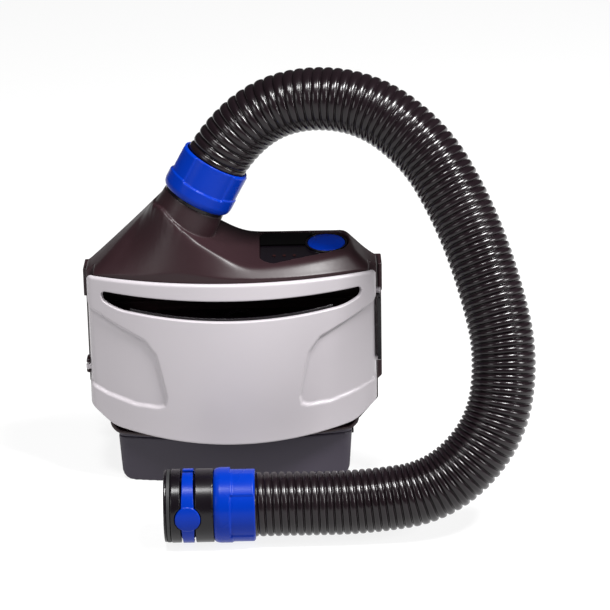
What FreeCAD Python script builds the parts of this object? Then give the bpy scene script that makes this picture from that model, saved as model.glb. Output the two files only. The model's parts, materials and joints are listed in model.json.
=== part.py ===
# Powered air respirator: belt turbo unit with filter, battery and breathing tube.
# Millimetres, +Z up, -Y is the front (filter cover), +Y the back (belt plate).
# The origin is the bottom centre of the unit, on the battery's flat base.
import FreeCAD
import Part
import Sketcher
import math
import os
from FreeCAD import Placement, Rotation, Vector

SIZES = [
    # the unit and its belt plate
    ("unit_half_width", 105.5),
    ("unit_front", -45.0),
    ("unit_back", 45.0),
    ("shell_wall", 2.5),
    ("back_face", 38.0),
    ("body_half_width", 101.3),
    ("skirt_half_width", 95.0),
    ("step_back", -3.2),
    ("tub_bottom", 36.5),
    ("tub_top", 128.0),
    ("seam_gap", 0.3),
    ("ceiling", 144.0),
    ("bulkhead_front", -6.0),
    ("corner_radius", 12.0),
    # filter cover: a vertical cylinder front with side walls
    ("cover_radius", 206.0),
    ("cover_half_width", 100.0),
    ("cover_wall", 3.0),
    ("cover_gap", 0.5),
    ("cover_top", 151.5),
    ("cover_bottom", 34.4),
    ("cover_bottom_side", 44.0),
    ("cover_corner_x", 85.0),
    ("cover_corner_up", 58.0),
    ("cover_back", -4.0),
    ("cover_edge_radius", 7.0),
    ("slot_half_width", 90.0),
    ("slot_top", 139.5),
    ("slot_top_side", 142.0),
    ("slot_bottom", 124.5),
    ("slot_bottom_side", 129.5),
    ("slot_bottom_half", 70.0),
    ("grip_depth", 1.8),
    # top of the upper housing
    ("brow_radius", 205.2),
    ("brow_height", 149.8),
    ("brow_slope", 1.15),
    ("side_height", 148.3),
    ("side_slope", 0.96),
    ("mound_rise", 48.6),
    ("mound_bulge", -1.3),
    ("deck_height", 160.3),
    ("deck_tilt", 0.16),
    ("deck_start", -33.0),
    ("back_ridge", 20.3),
    ("back_slope", 0.39),
    ("back_curve", 0.009),
    ("scoop_slope", 0.482),
    ("scoop_curve", 0.0036),
    ("scoop_curve_start", 3.1),
    ("scoop_foot", 10.4),
    ("foot_x", -28.9),
    ("foot_half_width", 24.3),
    ("foot_half_depth", 24.0),
    ("foot_flare", 1.6),
    ("foot_scale", 25.0),
    ("flare_reach", 6.25),
    ("ramp_blend", 4.0),
    ("edge_blend", 24.0),
    ("slab_blend", 8.0),
    ("flank_blend", 5.0),
    ("deck_blend", 2.5),
    ("shell_drop", 3.2),
    # outlet port
    ("port_x", -22.8),
    ("port_y", -4.0),
    ("port_z", 202.2),
    ("port_lean", 29.0),
    ("neck_radius", 22.3),
    ("neck_length", 26.0),
    ("neck_foot_left", 24.2),
    ("neck_foot_right", 24.0),
    ("neck_foot_front", 23.0),
    ("port_bore", 16.0),
    ("spigot_radius", 19.4),
    # breathing tube and its end pieces
    ("hose_radius", 21.5),
    ("hose_wall", 1.6),
    ("hose_start", 20.0),
    ("hose_first_run", 30.0),
    ("collar_radius", 25.2),
    ("collar_length", 30.5),
    ("collar_step", 1.5),
    ("collar_ledge", 0.7),
    ("collar_step_start", 10.8),
    ("collar_step_angle", 74.0),
    ("lower_collar_start", -12.2),
    ("lower_collar_length", 27.4),
    ("collar_bore", 22.0),
    ("line_y", -129.0),
    ("line_z", 25.5),
    ("hose_end_x", 10.0),
    ("connector_radius", 24.6),
    ("connector_left", -45.3),
    ("connector_right", -12.5),
    ("connector_bore", 17.5),
    ("journal_radius", 19.5),
    ("cuff_bore", 18.1),
    ("band_radius", 25.3),
    ("band_x", -29.3),
    ("band_width", 9.0),
    ("pad_radius", 8.4),
    ("pad_travel", 1.5),
    # display pocket and button
    ("pocket_left", 20.0),
    ("pocket_back", 19.3),
    ("pocket_depth", 4.5),
    ("panel_thickness", 0.8),
    ("button_x", 66.5),
    ("button_y", 6.5),
    ("button_radius", 13.0),
    ("bezel_radius", 14.7),
    ("bezel_height", 2.9),
    # battery
    ("battery_top", 36.2),
    ("battery_split", 32.6),
    ("battery_half_top", 82.5),
    ("battery_half_bottom", 79.8),
    ("battery_front", -28.0),
    ("battery_back", 37.5),
    ("battery_front_radius", 400.0),
    ("battery_corner", 7.5),
    ("battery_wall", 2.0),
    ("cell_radius", 9.1),
    ("cell_length", 65.0),
    ("cell_pitch", 18.25),
    # blower
    ("blower_x", 14.0),
    ("blower_z", 86.0),
    ("impeller_radius", 29.0),
    ("scroll_start", 34.0),
    ("scroll_growth", 14.0),
    ("scroll_front", 3.0),
    ("scroll_depth", 20.0),
    ("scroll_wall", 2.0),
    ("motor_radius", 14.0),
    ("shaft_radius", 2.0),
    # filter
    ("filter_half_width", 77.0),
    ("filter_bottom", 44.0),
    ("filter_top", 122.0),
    ("filter_front", -26.0),
    ("filter_back", -8.2),
    ("pleat_pitch", 5.0),
    # small hardware
    ("screw_radius", 1.5),
    ("screw_head", 2.9),
    ("pin_radius", 0.7),
    ("barrel_radius", 1.5),
    ("hinge_x", -101.9),
    ("hinge_y", -8.5),
    ("hinge_bottom", 77.0),
    ("hinge_top", 86.5),
    ("latch_x", 102.2),
    ("latch_y", -6.1),
    ("latch_bottom", 85.3),
    ("latch_top", 131.0),
]

# Corners of the breathing tube's route after the two that lie on the port's axis.
HOSE_ROUTE = [
    (39.6, -8.4, 272.6),
    (92.2, -20.0, 273.4),
    (133.2, -36.8, 246.0),
    (157.7, -56.9, 205.4),
    (174.0, -77.9, 162.2),
    (184.7, -98.1, 116.2),
    (176.4, -114.8, 67.8),
    (139.3, -126.2, 31.8),
    (88.1, -128.6, 25.2),
    (37.5, -129.0, 25.5),
    (10.0, -129.0, 25.5),
]

doc = FreeCAD.newDocument("PoweredAirRespirator")
sheet = doc.addObject("Spreadsheet::Sheet", "Sizes")
for row, (alias, value) in enumerate(SIZES, start=1):
    sheet.set("A%d" % row, alias)
    sheet.set("B%d" % row, str(value))
    sheet.setAlias("B%d" % row, alias)
doc.recompute()

subparts = []


def size(alias):
    """A driving dimension, read from the sheet."""
    return float(sheet.get(alias))


# ---------------------------------------------------------------- helpers


def origin_plane(body, role):
    for feature in body.Origin.OriginFeatures:
        if feature.Role == role:
            return feature
    raise ValueError(role)


def new_body(label):
    body = doc.addObject("PartDesign::Body", label)
    body.Label = label
    subparts.append(body)
    return body


def new_sketch(body, name, shift="0", role="XY_Plane"):
    """A sketch parallel to one of the body's planes, shifted along its normal."""
    sketch = body.newObject("Sketcher::SketchObject", body.Label + "_" + name)
    sketch.AttachmentSupport = [(origin_plane(body, role), "")]
    sketch.MapMode = "FlatFace"
    sketch.setExpression("AttachmentOffset.Base.z", shift)
    return sketch


def draw_circle(sketch, tag, radius):
    index = sketch.addGeometry(Part.Circle(Vector(), Vector(0, 0, 1), 5.0), False)
    sketch.addConstraint(Sketcher.Constraint("Coincident", index, 3, -1, 1))
    number = sketch.addConstraint(Sketcher.Constraint("Radius", index, 5.0))
    sketch.renameConstraint(number, tag)
    sketch.setExpression("Constraints." + tag, radius)


def draw_rectangle(sketch, width, depth):
    """A rectangle centred on the sketch's origin."""
    corners = [Vector(-5, -4, 0), Vector(5, -4, 0), Vector(5, 4, 0), Vector(-5, 4, 0)]
    for number in range(4):
        sketch.addGeometry(Part.LineSegment(corners[number], corners[(number + 1) % 4]), False)
    for number in range(4):
        sketch.addConstraint(Sketcher.Constraint("Coincident", number, 2, (number + 1) % 4, 1))
    for number, kind in enumerate(("Horizontal", "Vertical", "Horizontal", "Vertical")):
        sketch.addConstraint(Sketcher.Constraint(kind, number))
    sketch.addConstraint(Sketcher.Constraint("Symmetric", 0, 1, 1, 2, -1, 1))
    across = sketch.addConstraint(Sketcher.Constraint("DistanceX", 0, 1, 0, 2, 10.0))
    sketch.renameConstraint(across, "width")
    sketch.setExpression("Constraints.width", width)
    along = sketch.addConstraint(Sketcher.Constraint("DistanceY", 1, 1, 1, 2, 8.0))
    sketch.renameConstraint(along, "depth")
    sketch.setExpression("Constraints.depth", depth)


def add_pad(body, sketch, name, length):
    feature = body.newObject("PartDesign::Pad", body.Label + "_" + name)
    feature.Profile = sketch
    feature.setExpression("Length", length)
    return feature


def place(item, x="0", y="0", z="0"):
    item.setExpression("Placement.Base.x", x)
    item.setExpression("Placement.Base.y", y)
    item.setExpression("Placement.Base.z", z)


def turned(label, rings, rotation=None, at=("0", "0", "0")):
    """A turned piece: rings of (outer radius, inner radius, start, length) on one axis."""
    body = new_body(label)
    for number, (outer, inner, start, length) in enumerate(rings):
        sketch = new_sketch(body, "section%d" % number, start)
        draw_circle(sketch, "outer", outer)
        if inner:
            draw_circle(sketch, "inner", inner)
        add_pad(body, sketch, "ring%d" % number, length)
    place(body, *at)
    if rotation:
        body.Placement.Rotation = rotation
    return body


def block(label, width, depth, height, at, corner=None):
    """A block padded up from a centred rectangle, its upright edges rounded."""
    body = new_body(label)
    sketch = new_sketch(body, "base")
    draw_rectangle(sketch, width, depth)
    base = add_pad(body, sketch, "pad", height)
    if corner:
        doc.recompute()
        upright = []
        for number, edge in enumerate(base.Shape.Edges, start=1):
            box = edge.BoundBox
            if box.ZLength > 0.5 * base.Shape.BoundBox.ZLength:
                upright.append("Edge%d" % number)
        rounding = body.newObject("PartDesign::Fillet", label + "_corners")
        rounding.Base = (base, upright)
        rounding.setExpression("Radius", corner)
    place(body, *at)
    return body


def free_form(label, shape):
    """A piece whose outline is a formula: its shape is built from the sheet's sizes."""
    item = doc.addObject("Part::Feature", label)
    item.Label = label
    item.Shape = shape
    item.Placement = shape.Placement
    subparts.append(item)
    return item


def box(x, y, z):
    """A solid box from three (low, high) pairs."""
    corner = Vector(x[0], y[0], z[0])
    return Part.makeBox(x[1] - x[0], y[1] - y[0], z[1] - z[0], corner)


def rod(radius, start, end):
    start = Vector(*start)
    along = Vector(*end) - start
    return Part.makeCylinder(radius, along.Length, start, along)


def tube(outer, inner, start, end):
    return rod(outer, start, end).cut(rod(inner, start, end))


def prism_xz(face_wire, front, back):
    """A wire drawn at Y = 0 in the XZ plane, made solid between two depths."""
    face = Part.Face(face_wire)
    face.translate(Vector(0, front, 0))
    return face.extrude(Vector(0, back - front, 0))


def upright_polygon(points):
    corners = [Vector(x, 0, z) for x, z in points]
    return Part.makePolygon(corners + corners[:1])


def both_sides(shape):
    """The shape and its mirror image across the YZ plane."""
    return shape.fuse(shape.mirror(Vector(), Vector(1, 0, 0)))


def port_point(along):
    """A point on the outlet port's leaning axis."""
    lean = math.radians(size("port_lean"))
    foot = Vector(size("port_x"), size("port_y"), size("port_z"))
    return foot + Vector(math.sin(lean), 0, math.cos(lean)) * along


PORT_TURN = Rotation(Vector(0, 1, 0), size("port_lean"))
ALONG_X = Rotation(Vector(0, 1, 0), 90)
ALONG_Y = Rotation(Vector(1, 0, 0), -90)


def deck_point(x, y, above=0.0):
    """A point on the pocket's tilted floor, or above it along its normal."""
    tilt = size("deck_tilt")
    height = size("deck_height") + tilt * (y - size("deck_start")) - size("pocket_depth")
    normal = Vector(0, -tilt, 1).normalize()
    return Vector(x, y, height) + normal * above


DECK_TURN = Rotation(Vector(1, 0, 0), math.degrees(math.atan(size("deck_tilt"))))

# ------------------------------------------------- the moulded upper housing


def soft_min(a, b, blend):
    """The smaller value, with the corner between the two rounded."""
    overlap = max(blend - abs(a - b), 0.0) / blend
    return min(a, b) - overlap * overlap * blend * 0.25


def soft_max(a, b, blend):
    return -soft_min(-a, -b, blend)


def neck_gap(x, y):
    """Distance outside the oval foot of the leaning neck."""
    across = (x - size("foot_x")) / size("foot_half_width")
    along = (y - size("port_y")) / size("foot_half_depth")
    return max((math.hypot(across, along) - 1.0) * size("foot_scale"), 0.0)


def top_height(x, y):
    """Height of the housing's top: a mound to the neck, cut by a scooped deck."""
    centre = size("unit_front") + size("cover_radius")
    front = size("brow_radius") - math.hypot(x, y - centre)
    side = size("body_half_width") - abs(x)
    edge = max(soft_min(front, side, size("edge_blend")), 0.0)
    gap = neck_gap(x, y)
    share = edge / (edge + gap + 0.01)
    mound = size("brow_height") + size("mound_rise") * share
    mound += 4.0 * size("mound_bulge") * share * (1.0 - share)
    mound += size("foot_flare") * math.exp(-gap / size("flare_reach"))
    brow = size("brow_height") + size("brow_slope") * front
    shoulder = size("side_height") + size("side_slope") * side
    slab = soft_min(brow, shoulder, size("slab_blend"))
    flank = soft_max(mound, slab, size("flank_blend"))
    blend = size("ramp_blend")
    ramp = blend * math.log1p(math.exp((size("scoop_foot") - x) / blend))
    deck = size("deck_height") + size("scoop_slope") * ramp
    deck += size("scoop_curve") * max(ramp - size("scoop_curve_start"), 0.0) ** 2
    deck += size("deck_tilt") * (y - size("deck_start"))
    behind = max(y - size("back_ridge"), 0.0)
    fall = size("back_slope") * behind + size("back_curve") * behind * behind
    return soft_min(flank, deck, size("deck_blend")) - fall


def top_surface(lower=0.0):
    """The top as one smooth surface through a regular grid of its heights."""
    columns, rows = 84, 36
    reach_x, front, back = 104.0, -46.0, 42.0
    grid = []
    for i in range(columns + 1):
        x = -reach_x + 2.0 * reach_x * i / columns
        line = []
        for j in range(rows + 1):
            y = front + (back - front) * j / rows
            line.append(Vector(x, y, top_height(x, y) - lower))
        grid.append(line)
    surface = Part.BSplineSurface()
    surface.interpolate(grid)
    return surface.toShape()


def plan_outline(inset, height):
    """Plan of the housing: an arched front, a step to the wider rear part."""
    centre = size("unit_front") + size("cover_radius")
    radius = size("cover_radius") - size("cover_wall") - size("cover_gap") - inset
    near = size("skirt_half_width") - inset
    wide = size("body_half_width") - inset
    step = size("step_back") + inset
    back = size("back_face") - inset
    corner = size("corner_radius") - inset
    turn = corner * (1.0 - math.sqrt(0.5))
    arch = centre - math.sqrt(radius * radius - near * near)

    def at(x, y):
        return Vector(x, y, height)

    edges = [
        Part.Arc(at(-near, arch), at(0, centre - radius), at(near, arch)).toShape(),
        Part.makeLine(at(near, arch), at(near, step)),
        Part.makeLine(at(near, step), at(wide, step)),
        Part.makeLine(at(wide, step), at(wide, back - corner)),
        Part.Arc(
            at(wide, back - corner), at(wide - turn, back - turn), at(wide - corner, back)
        ).toShape(),
        Part.makeLine(at(wide - corner, back), at(corner - wide, back)),
        Part.Arc(
            at(corner - wide, back), at(turn - wide, back - turn), at(-wide, back - corner)
        ).toShape(),
        Part.makeLine(at(-wide, back - corner), at(-wide, step)),
        Part.makeLine(at(-wide, step), at(-near, step)),
        Part.makeLine(at(-near, step), at(-near, arch)),
    ]
    return Part.Face(Part.Wire(edges))


def pocket_outline(grow, height):
    """Plan of the display pocket; its right end runs round the button."""
    left = size("pocket_left") - grow
    back = size("pocket_back") + grow
    right = size("button_x") + size("bezel_radius") + 0.9 + grow

    def at(x, y):
        return Vector(x, y, height)

    edges = [
        Part.makeLine(at(left + 3, back), at(left, back - 3)),
        Part.makeLine(at(left, back - 3), at(left, -15 - grow)),
        Part.Arc(at(left, -15 - grow), at(left + 2.5, -23 - grow), at(left + 10, -27.2 - grow)).toShape(),
        Part.Arc(
            at(left + 10, -27.2 - grow), at(54, -17.2 - grow), at(right - 4.5, -7.4 - grow)
        ).toShape(),
        Part.Arc(at(right - 4.5, -7.4 - grow), at(right - 0.6, 1), at(right, 8)).toShape(),
        Part.Arc(at(right, 8), at(right - 2, back - 4.5), at(right - 7.5, back)).toShape(),
        Part.makeLine(at(right - 7.5, back), at(left + 3, back)),
    ]
    return Part.Face(Part.Wire(edges))


def below_floor(drop):
    """The half space below the pocket's tilted floor, as a large block."""
    slab = Part.makeBox(300, 300, 100, Vector(-150, -150, -100 - drop))
    slab.Placement = Placement(deck_point(0, 0), DECK_TURN)
    return slab


def upper_housing():
    wall = size("shell_wall")
    ceiling = size("ceiling")
    low = size("tub_top") + size("seam_gap")
    bulkhead = size("bulkhead_front") - 0.2
    outer = plan_outline(0.0, low).extrude(Vector(0, 0, 110))
    outer = outer.cut(box((-120, 120), (-60, bulkhead), (100, ceiling)))
    outer = outer.cut(top_surface().extrude(Vector(0, 0, 120)))
    inner = plan_outline(wall, low - 1).extrude(Vector(0, 0, 110))
    inner = inner.cut(box((-120, 120), (-60, bulkhead + wall), (100, ceiling + wall)))
    inner = inner.cut(top_surface(size("shell_drop")).extrude(Vector(0, 0, 120)))
    neck = flared_neck()
    tray = pocket_outline(wall, 140).extrude(Vector(0, 0, 60))
    tray = tray.common(outer).cut(below_floor(wall))
    shell = outer.cut(inner).fuse(tray)
    shell = shell.fuse(neck)
    shell = shell.cut(rod(size("port_bore") + 1.1, port_point(-60), port_point(5)))
    shell = shell.cut(rod(size("spigot_radius") + 0.4, port_point(-12.3), port_point(5)))
    pocket = pocket_outline(0.0, 140).extrude(Vector(0, 0, 90)).cut(below_floor(0.0))
    shell = shell.cut(pocket)
    shell = shell.cut(button_hole())
    free_form("upper_housing", largest_solid(shell))


def button_hole():
    """The round hole through the pocket's floor in which the button slides."""
    x = size("button_x")
    y = size("button_y")
    return rod(size("button_radius") + 0.3, deck_point(x, y, -20), deck_point(x, y, 20))


def flared_neck():
    """The neck under the port: a circle at the top, a wider oval at its foot."""
    top = Part.Circle(Vector(0, 0, -2.6), Vector(0, 0, 1), size("neck_radius"))
    left = size("neck_foot_left")
    right = size("neck_foot_right")
    foot = Part.Ellipse(Vector(), 0.5 * (left + right), size("neck_foot_front"))
    foot.Center = Vector(0.5 * (right - left), 0, -size("neck_length") + 2.0)
    wires = [Part.Wire([curve.toShape()]) for curve in (foot, top)]
    neck = Part.makeLoft(wires, True, True)
    neck.Placement = Placement(port_point(0), PORT_TURN)
    return neck


def largest_solid(shape):
    """The main solid of a boolean result, its split faces joined."""
    solids = sorted(shape.removeSplitter().Solids, key=lambda solid: solid.Volume)
    return solids[-1]


# --------------------------------------------------- rear housing, bulkhead


def tub_profile(inset, low):
    side = size("body_half_width") - inset
    foot = 88.0 - inset
    high = size("tub_top") + (5.0 if inset else 0.0)
    knee = 52.0
    right = [(foot, low), (side, knee), (side, high)]
    left = [(-x, z) for x, z in reversed(right)]
    return upright_polygon(right + left)


def boss_places():
    return [(-92.0, 60.0), (92.0, 60.0), (-92.0, 118.0), (92.0, 118.0)]


def belt_screw_places():
    return [(-50.0, 52.0), (50.0, 52.0), (-50.0, 120.0), (50.0, 120.0)]


def rear_housing():
    wall = size("shell_wall")
    low = size("tub_bottom")
    back = size("back_face")
    step = size("step_back")
    plan = plan_outline(0.0, 0).extrude(Vector(0, 0, 200))
    outer = prism_xz(tub_profile(0.0, low), step, back).common(plan)
    inner = prism_xz(tub_profile(wall, low + wall), step - 1, back - wall)
    shell = outer.cut(inner.common(plan_outline(wall, 0).extrude(Vector(0, 0, 200)).fuse(
        box((wall - 101.3, 101.3 - wall), (step - 1, 10), (0, 200)))))
    for x, z in boss_places():
        shell = shell.fuse(rod(4.0, (x, step, z), (x, back - 1, z)))
        shell = shell.cut(rod(size("screw_radius"), (x, step - 1, z), (x, back + 1, z)))
        shell = shell.cut(rod(size("screw_head") + 0.2, (x, back - 2.2, z), (x, back + 1, z)))
    for x, z in belt_screw_places():
        shell = shell.cut(rod(size("screw_radius"), (x, back - 5, z), (x, back + 1, z)))
    pin_x = size("hinge_x")
    pin_y = size("hinge_y")
    barrel = size("barrel_radius")
    bottom = size("hinge_bottom")
    top = size("hinge_top")
    for start, end in ((bottom, bottom + 2.7), (top - 2.7, top)):
        shell = shell.fuse(rod(barrel, (pin_x, pin_y, start), (pin_x, pin_y, end)))
        arm = box((pin_x - barrel, pin_x + barrel - 0.2), (pin_y, 2.0), (start, end))
        shell = shell.fuse(arm)
    shell = shell.cut(rod(size("pin_radius"), (pin_x, pin_y, bottom - 1), (pin_x, pin_y, top + 1)))
    # catch for the battery's left end, and the striker beside its latch
    shell = shell.fuse(box((-88.0, -86.2), (18.0, 32.0), (30.8, low + 1)))
    shell = shell.fuse(box((-88.0, -84.0), (18.0, 32.0), (30.8, 32.4)))
    shell = shell.fuse(box((84.8, 86.4), (-6.0, 8.0), (33.2, low + 1)))
    shell = shell.cut(box((-20.3, 20.3), (10.7, 21.3), (low - 1, low + wall + 1)))
    free_form("rear_housing", largest_solid(shell))


def trough_outline(inset):
    """Section of the filter bay's bottom: flat, its ends curving up behind the cover."""
    low = size("tub_bottom") + inset
    foot = 81.0 - inset
    side = 87.4 - inset
    high = 45.5 + inset
    edges = [
        line_xz((-foot, low), (foot, low)),
        arc_xz((foot, low), (side - 1.9, low + 2.9), (side, high)),
        line_xz((side, high), (-side, high)),
        arc_xz((-side, high), (1.9 - side, low + 2.9), (-foot, low)),
    ]
    return Part.Wire(edges)


def filter_bulkhead():
    front = size("bulkhead_front")
    back = size("step_back") - 0.2
    wall = prism_xz(
        upright_polygon([(-84, 36.5), (84, 36.5), (95.2, 54), (95.2, 128), (-95.2, 128), (-95.2, 54)]),
        front,
        back,
    )
    reach = size("cover_radius") - size("cover_wall") - 0.8
    centre = size("unit_front") + size("cover_radius")
    shelf = prism_xz(trough_outline(0.0), -45, front + 1)
    shelf = shelf.cut(prism_xz(trough_outline(2.2), -50, front + 2))
    shelf = shelf.common(rod(reach, (0, centre, 0), (0, centre, 60)))
    rail = box((78.2, 80.4), (-22, front + 1), (42, 120))
    shape = wall.fuse([shelf, both_sides(rail)])
    port = (size("blower_x"), size("blower_z"))
    shape = shape.cut(rod(20.0, (port[0], -10, port[1]), (port[0], 0, port[1])))
    for x, z in boss_places():
        shape = shape.cut(rod(size("screw_radius") + 0.3, (x, -10, z), (x, 0, z)))
    free_form("filter_bulkhead", largest_solid(shape))


# ------------------------------------------------------------ filter cover


def cover_plan(inset, low, high):
    """The cover's plan as a solid: arched front, side walls, rounded corners."""
    centre = size("unit_front") + size("cover_radius")
    radius = size("cover_radius") - inset
    half = size("cover_half_width") - inset
    back = size("cover_back") + (10.0 if inset else 0.0)
    arch = centre - math.sqrt(radius * radius - half * half)
    left = Vector(-half, arch, low)
    right = Vector(half, arch, low)
    edges = [
        Part.Arc(left, Vector(0, centre - radius, low), right).toShape(),
        Part.makeLine(right, Vector(half, back, low)),
        Part.makeLine(Vector(half, back, low), Vector(-half, back, low)),
        Part.makeLine(Vector(-half, back, low), left),
    ]
    solid = Part.Face(Part.Wire(edges)).extrude(Vector(0, 0, high - low))
    corners = []
    for edge in solid.Edges:
        upright = edge.BoundBox.ZLength > 10
        if upright and edge.BoundBox.YMin < back - 5:
            corners.append(edge)
    return solid.makeFillet(size("cover_edge_radius") - inset, corners)


def arc_xz(start, middle, end):
    places = [Vector(x, 0, z) for x, z in (start, middle, end)]
    return Part.Arc(*places).toShape()


def line_xz(start, end):
    return Part.makeLine(Vector(start[0], 0, start[1]), Vector(end[0], 0, end[1]))


def cover_front_outline():
    half = size("unit_half_width")
    x = size("cover_corner_x")
    side = size("cover_bottom_side")
    up = size("cover_corner_up")
    top = size("cover_top")
    edges = [
        arc_xz((-x, side), (0, size("cover_bottom")), (x, side)),
        line_xz((x, side), (half, up + 3)),
        line_xz((half, up + 3), (half, top)),
        line_xz((half, top), (-half, top)),
        line_xz((-half, top), (-half, up + 3)),
        line_xz((-half, up + 3), (-x, side)),
    ]
    return Part.Wire(edges)


def slot_outline():
    half = size("slot_half_width")
    high = size("slot_top_side")
    low_half = size("slot_bottom_half")
    low = size("slot_bottom_side")
    edges = [
        arc_xz((-half + 3, high), (0, size("slot_top")), (half - 3, high)),
        arc_xz((half - 3, high), (half, high - 3), (half - 1.5, high - 7)),
        arc_xz((half - 1.5, high - 7), (82, 131.6), (low_half, low - 0.6)),
        arc_xz((low_half, low - 0.6), (0, size("slot_bottom")), (-low_half, low - 0.6)),
        arc_xz((-low_half, low - 0.6), (-82, 131.6), (1.5 - half, high - 7)),
        arc_xz((1.5 - half, high - 7), (-half, high - 3), (3 - half, high)),
    ]
    return Part.Wire(edges)


def grip_outline():
    """The recessed finger grip on the right; the left one is its mirror image."""
    points = [
        (99.5, 129.5),
        (78, 118),
        (61, 109.5),
        (53, 99),
        (49.5, 84),
        (46.3, 68),
        (47.5, 62.3),
        (52, 60.8),
        (68, 61.6),
        (88, 67.2),
        (99.5, 72.4),
    ]
    return upright_polygon(points)


def filter_cover():
    wall = size("cover_wall")
    top = size("cover_top")
    shell = cover_plan(0.0, 20, top).cut(cover_plan(wall, 10, top + 5))
    shell = shell.common(prism_xz(cover_front_outline(), -60, 10))
    shell = shell.cut(prism_xz(slot_outline(), -60, 0))
    shell = shell.cut(side_slant(top))
    centre = size("unit_front") + size("cover_radius")
    depth = size("grip_depth")
    ring = tube(size("cover_radius") + 8, size("cover_radius") - depth, (0, centre, 20), (0, centre, 160))
    grips = both_sides(prism_xz(grip_outline(), -60, -5))
    shell = shell.cut(ring.common(grips))
    pin_x = size("hinge_x")
    pin_y = size("hinge_y")
    barrel = size("barrel_radius")
    low = size("hinge_bottom") + 3.0
    high = size("hinge_top") - 3.0
    shell = shell.fuse(rod(barrel, (pin_x, pin_y, low), (pin_x, pin_y, high)))
    half = size("cover_half_width")
    shell = shell.fuse(box((pin_x, wall - half - 1.0), (pin_y - barrel, pin_y + 1), (low, high)))
    latch = (size("latch_x"), size("latch_y"))
    for start in (size("latch_bottom") - 3.6, size("latch_top") + 0.4):
        shell = shell.fuse(box((half - 1.0, latch[0] + 1.2), (latch[1] - 1.6, -4.0), (start, start + 3.2)))
    shell = shell.cut(rod(size("pin_radius") + 0.07, (pin_x, pin_y, low - 1), (pin_x, pin_y, high + 1)))
    shell = shell.cut(rod(size("pin_radius"), (*latch, 70), (*latch, 140)))
    free_form("filter_cover", largest_solid(shell))


def side_slant(top):
    """What is cut off the side walls: their top edge slopes down towards the back."""
    start = -18.0
    corners = [Vector(0, start, top), Vector(0, 12.0, top - 12.0), Vector(0, 12.0, top + 5)]
    corners.append(Vector(0, start, top + 5))
    face = Part.Face(Part.makePolygon(corners + corners[:1]))
    face.translate(Vector(-120, 0, 0))
    return face.extrude(Vector(240, 0, 0))


def slot_trim():
    """Black strip behind the slot's lower lip, inside the cover."""
    centre = size("unit_front") + size("cover_radius")
    reach = size("cover_radius") - size("cover_wall") - 0.3
    half = size("slot_bottom_half")
    low = size("slot_bottom")
    side = size("slot_bottom_side")
    edges = [
        arc_xz((-half, side - 3.0), (0, low - 3.0), (half, side - 3.0)),
        line_xz((half, side - 3.0), (half, side + 1.6)),
        arc_xz((half, side + 1.6), (0, low + 1.6), (-half, side + 1.6)),
        line_xz((-half, side + 1.6), (-half, side - 3.0)),
    ]
    strip = prism_xz(Part.Wire(edges), -60, 0)
    bow = tube(reach, reach - 1.8, (0, centre, 100), (0, centre, 150))
    free_form("slot_trim", largest_solid(strip.common(bow)))


def cover_latch():
    x = size("latch_x")
    y = size("latch_y")
    low = size("latch_bottom")
    high = size("latch_top")
    lever = box((x - 1.4, x + 1.2), (-17.0, y), (low, high))
    lever = lever.fuse(rod(1.3, (x, y, low), (x, y, high)))
    lever = lever.cut(rod(size("pin_radius") + 0.07, (x, y, 70), (x, y, 140)))
    for step in range(5):
        groove = low + 13.0 + 4.0 * step
        lever = lever.cut(box((x + 0.9, x + 2), (-16.2, -9.0), (groove, groove + 1.6)))
    free_form("cover_latch", largest_solid(lever))
    turned(
        "latch_pin",
        [("Sizes.pin_radius", None, "0", "Sizes.latch_top - Sizes.latch_bottom + 7.2")],
        at=("Sizes.latch_x", "Sizes.latch_y", "Sizes.latch_bottom - 3.6"),
    )
    turned(
        "cover_hinge_pin",
        [("Sizes.pin_radius", None, "0", "Sizes.hinge_top - Sizes.hinge_bottom")],
        at=("Sizes.hinge_x", "Sizes.hinge_y", "Sizes.hinge_bottom"),
    )


# ------------------------------------------------------------------ filter


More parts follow.
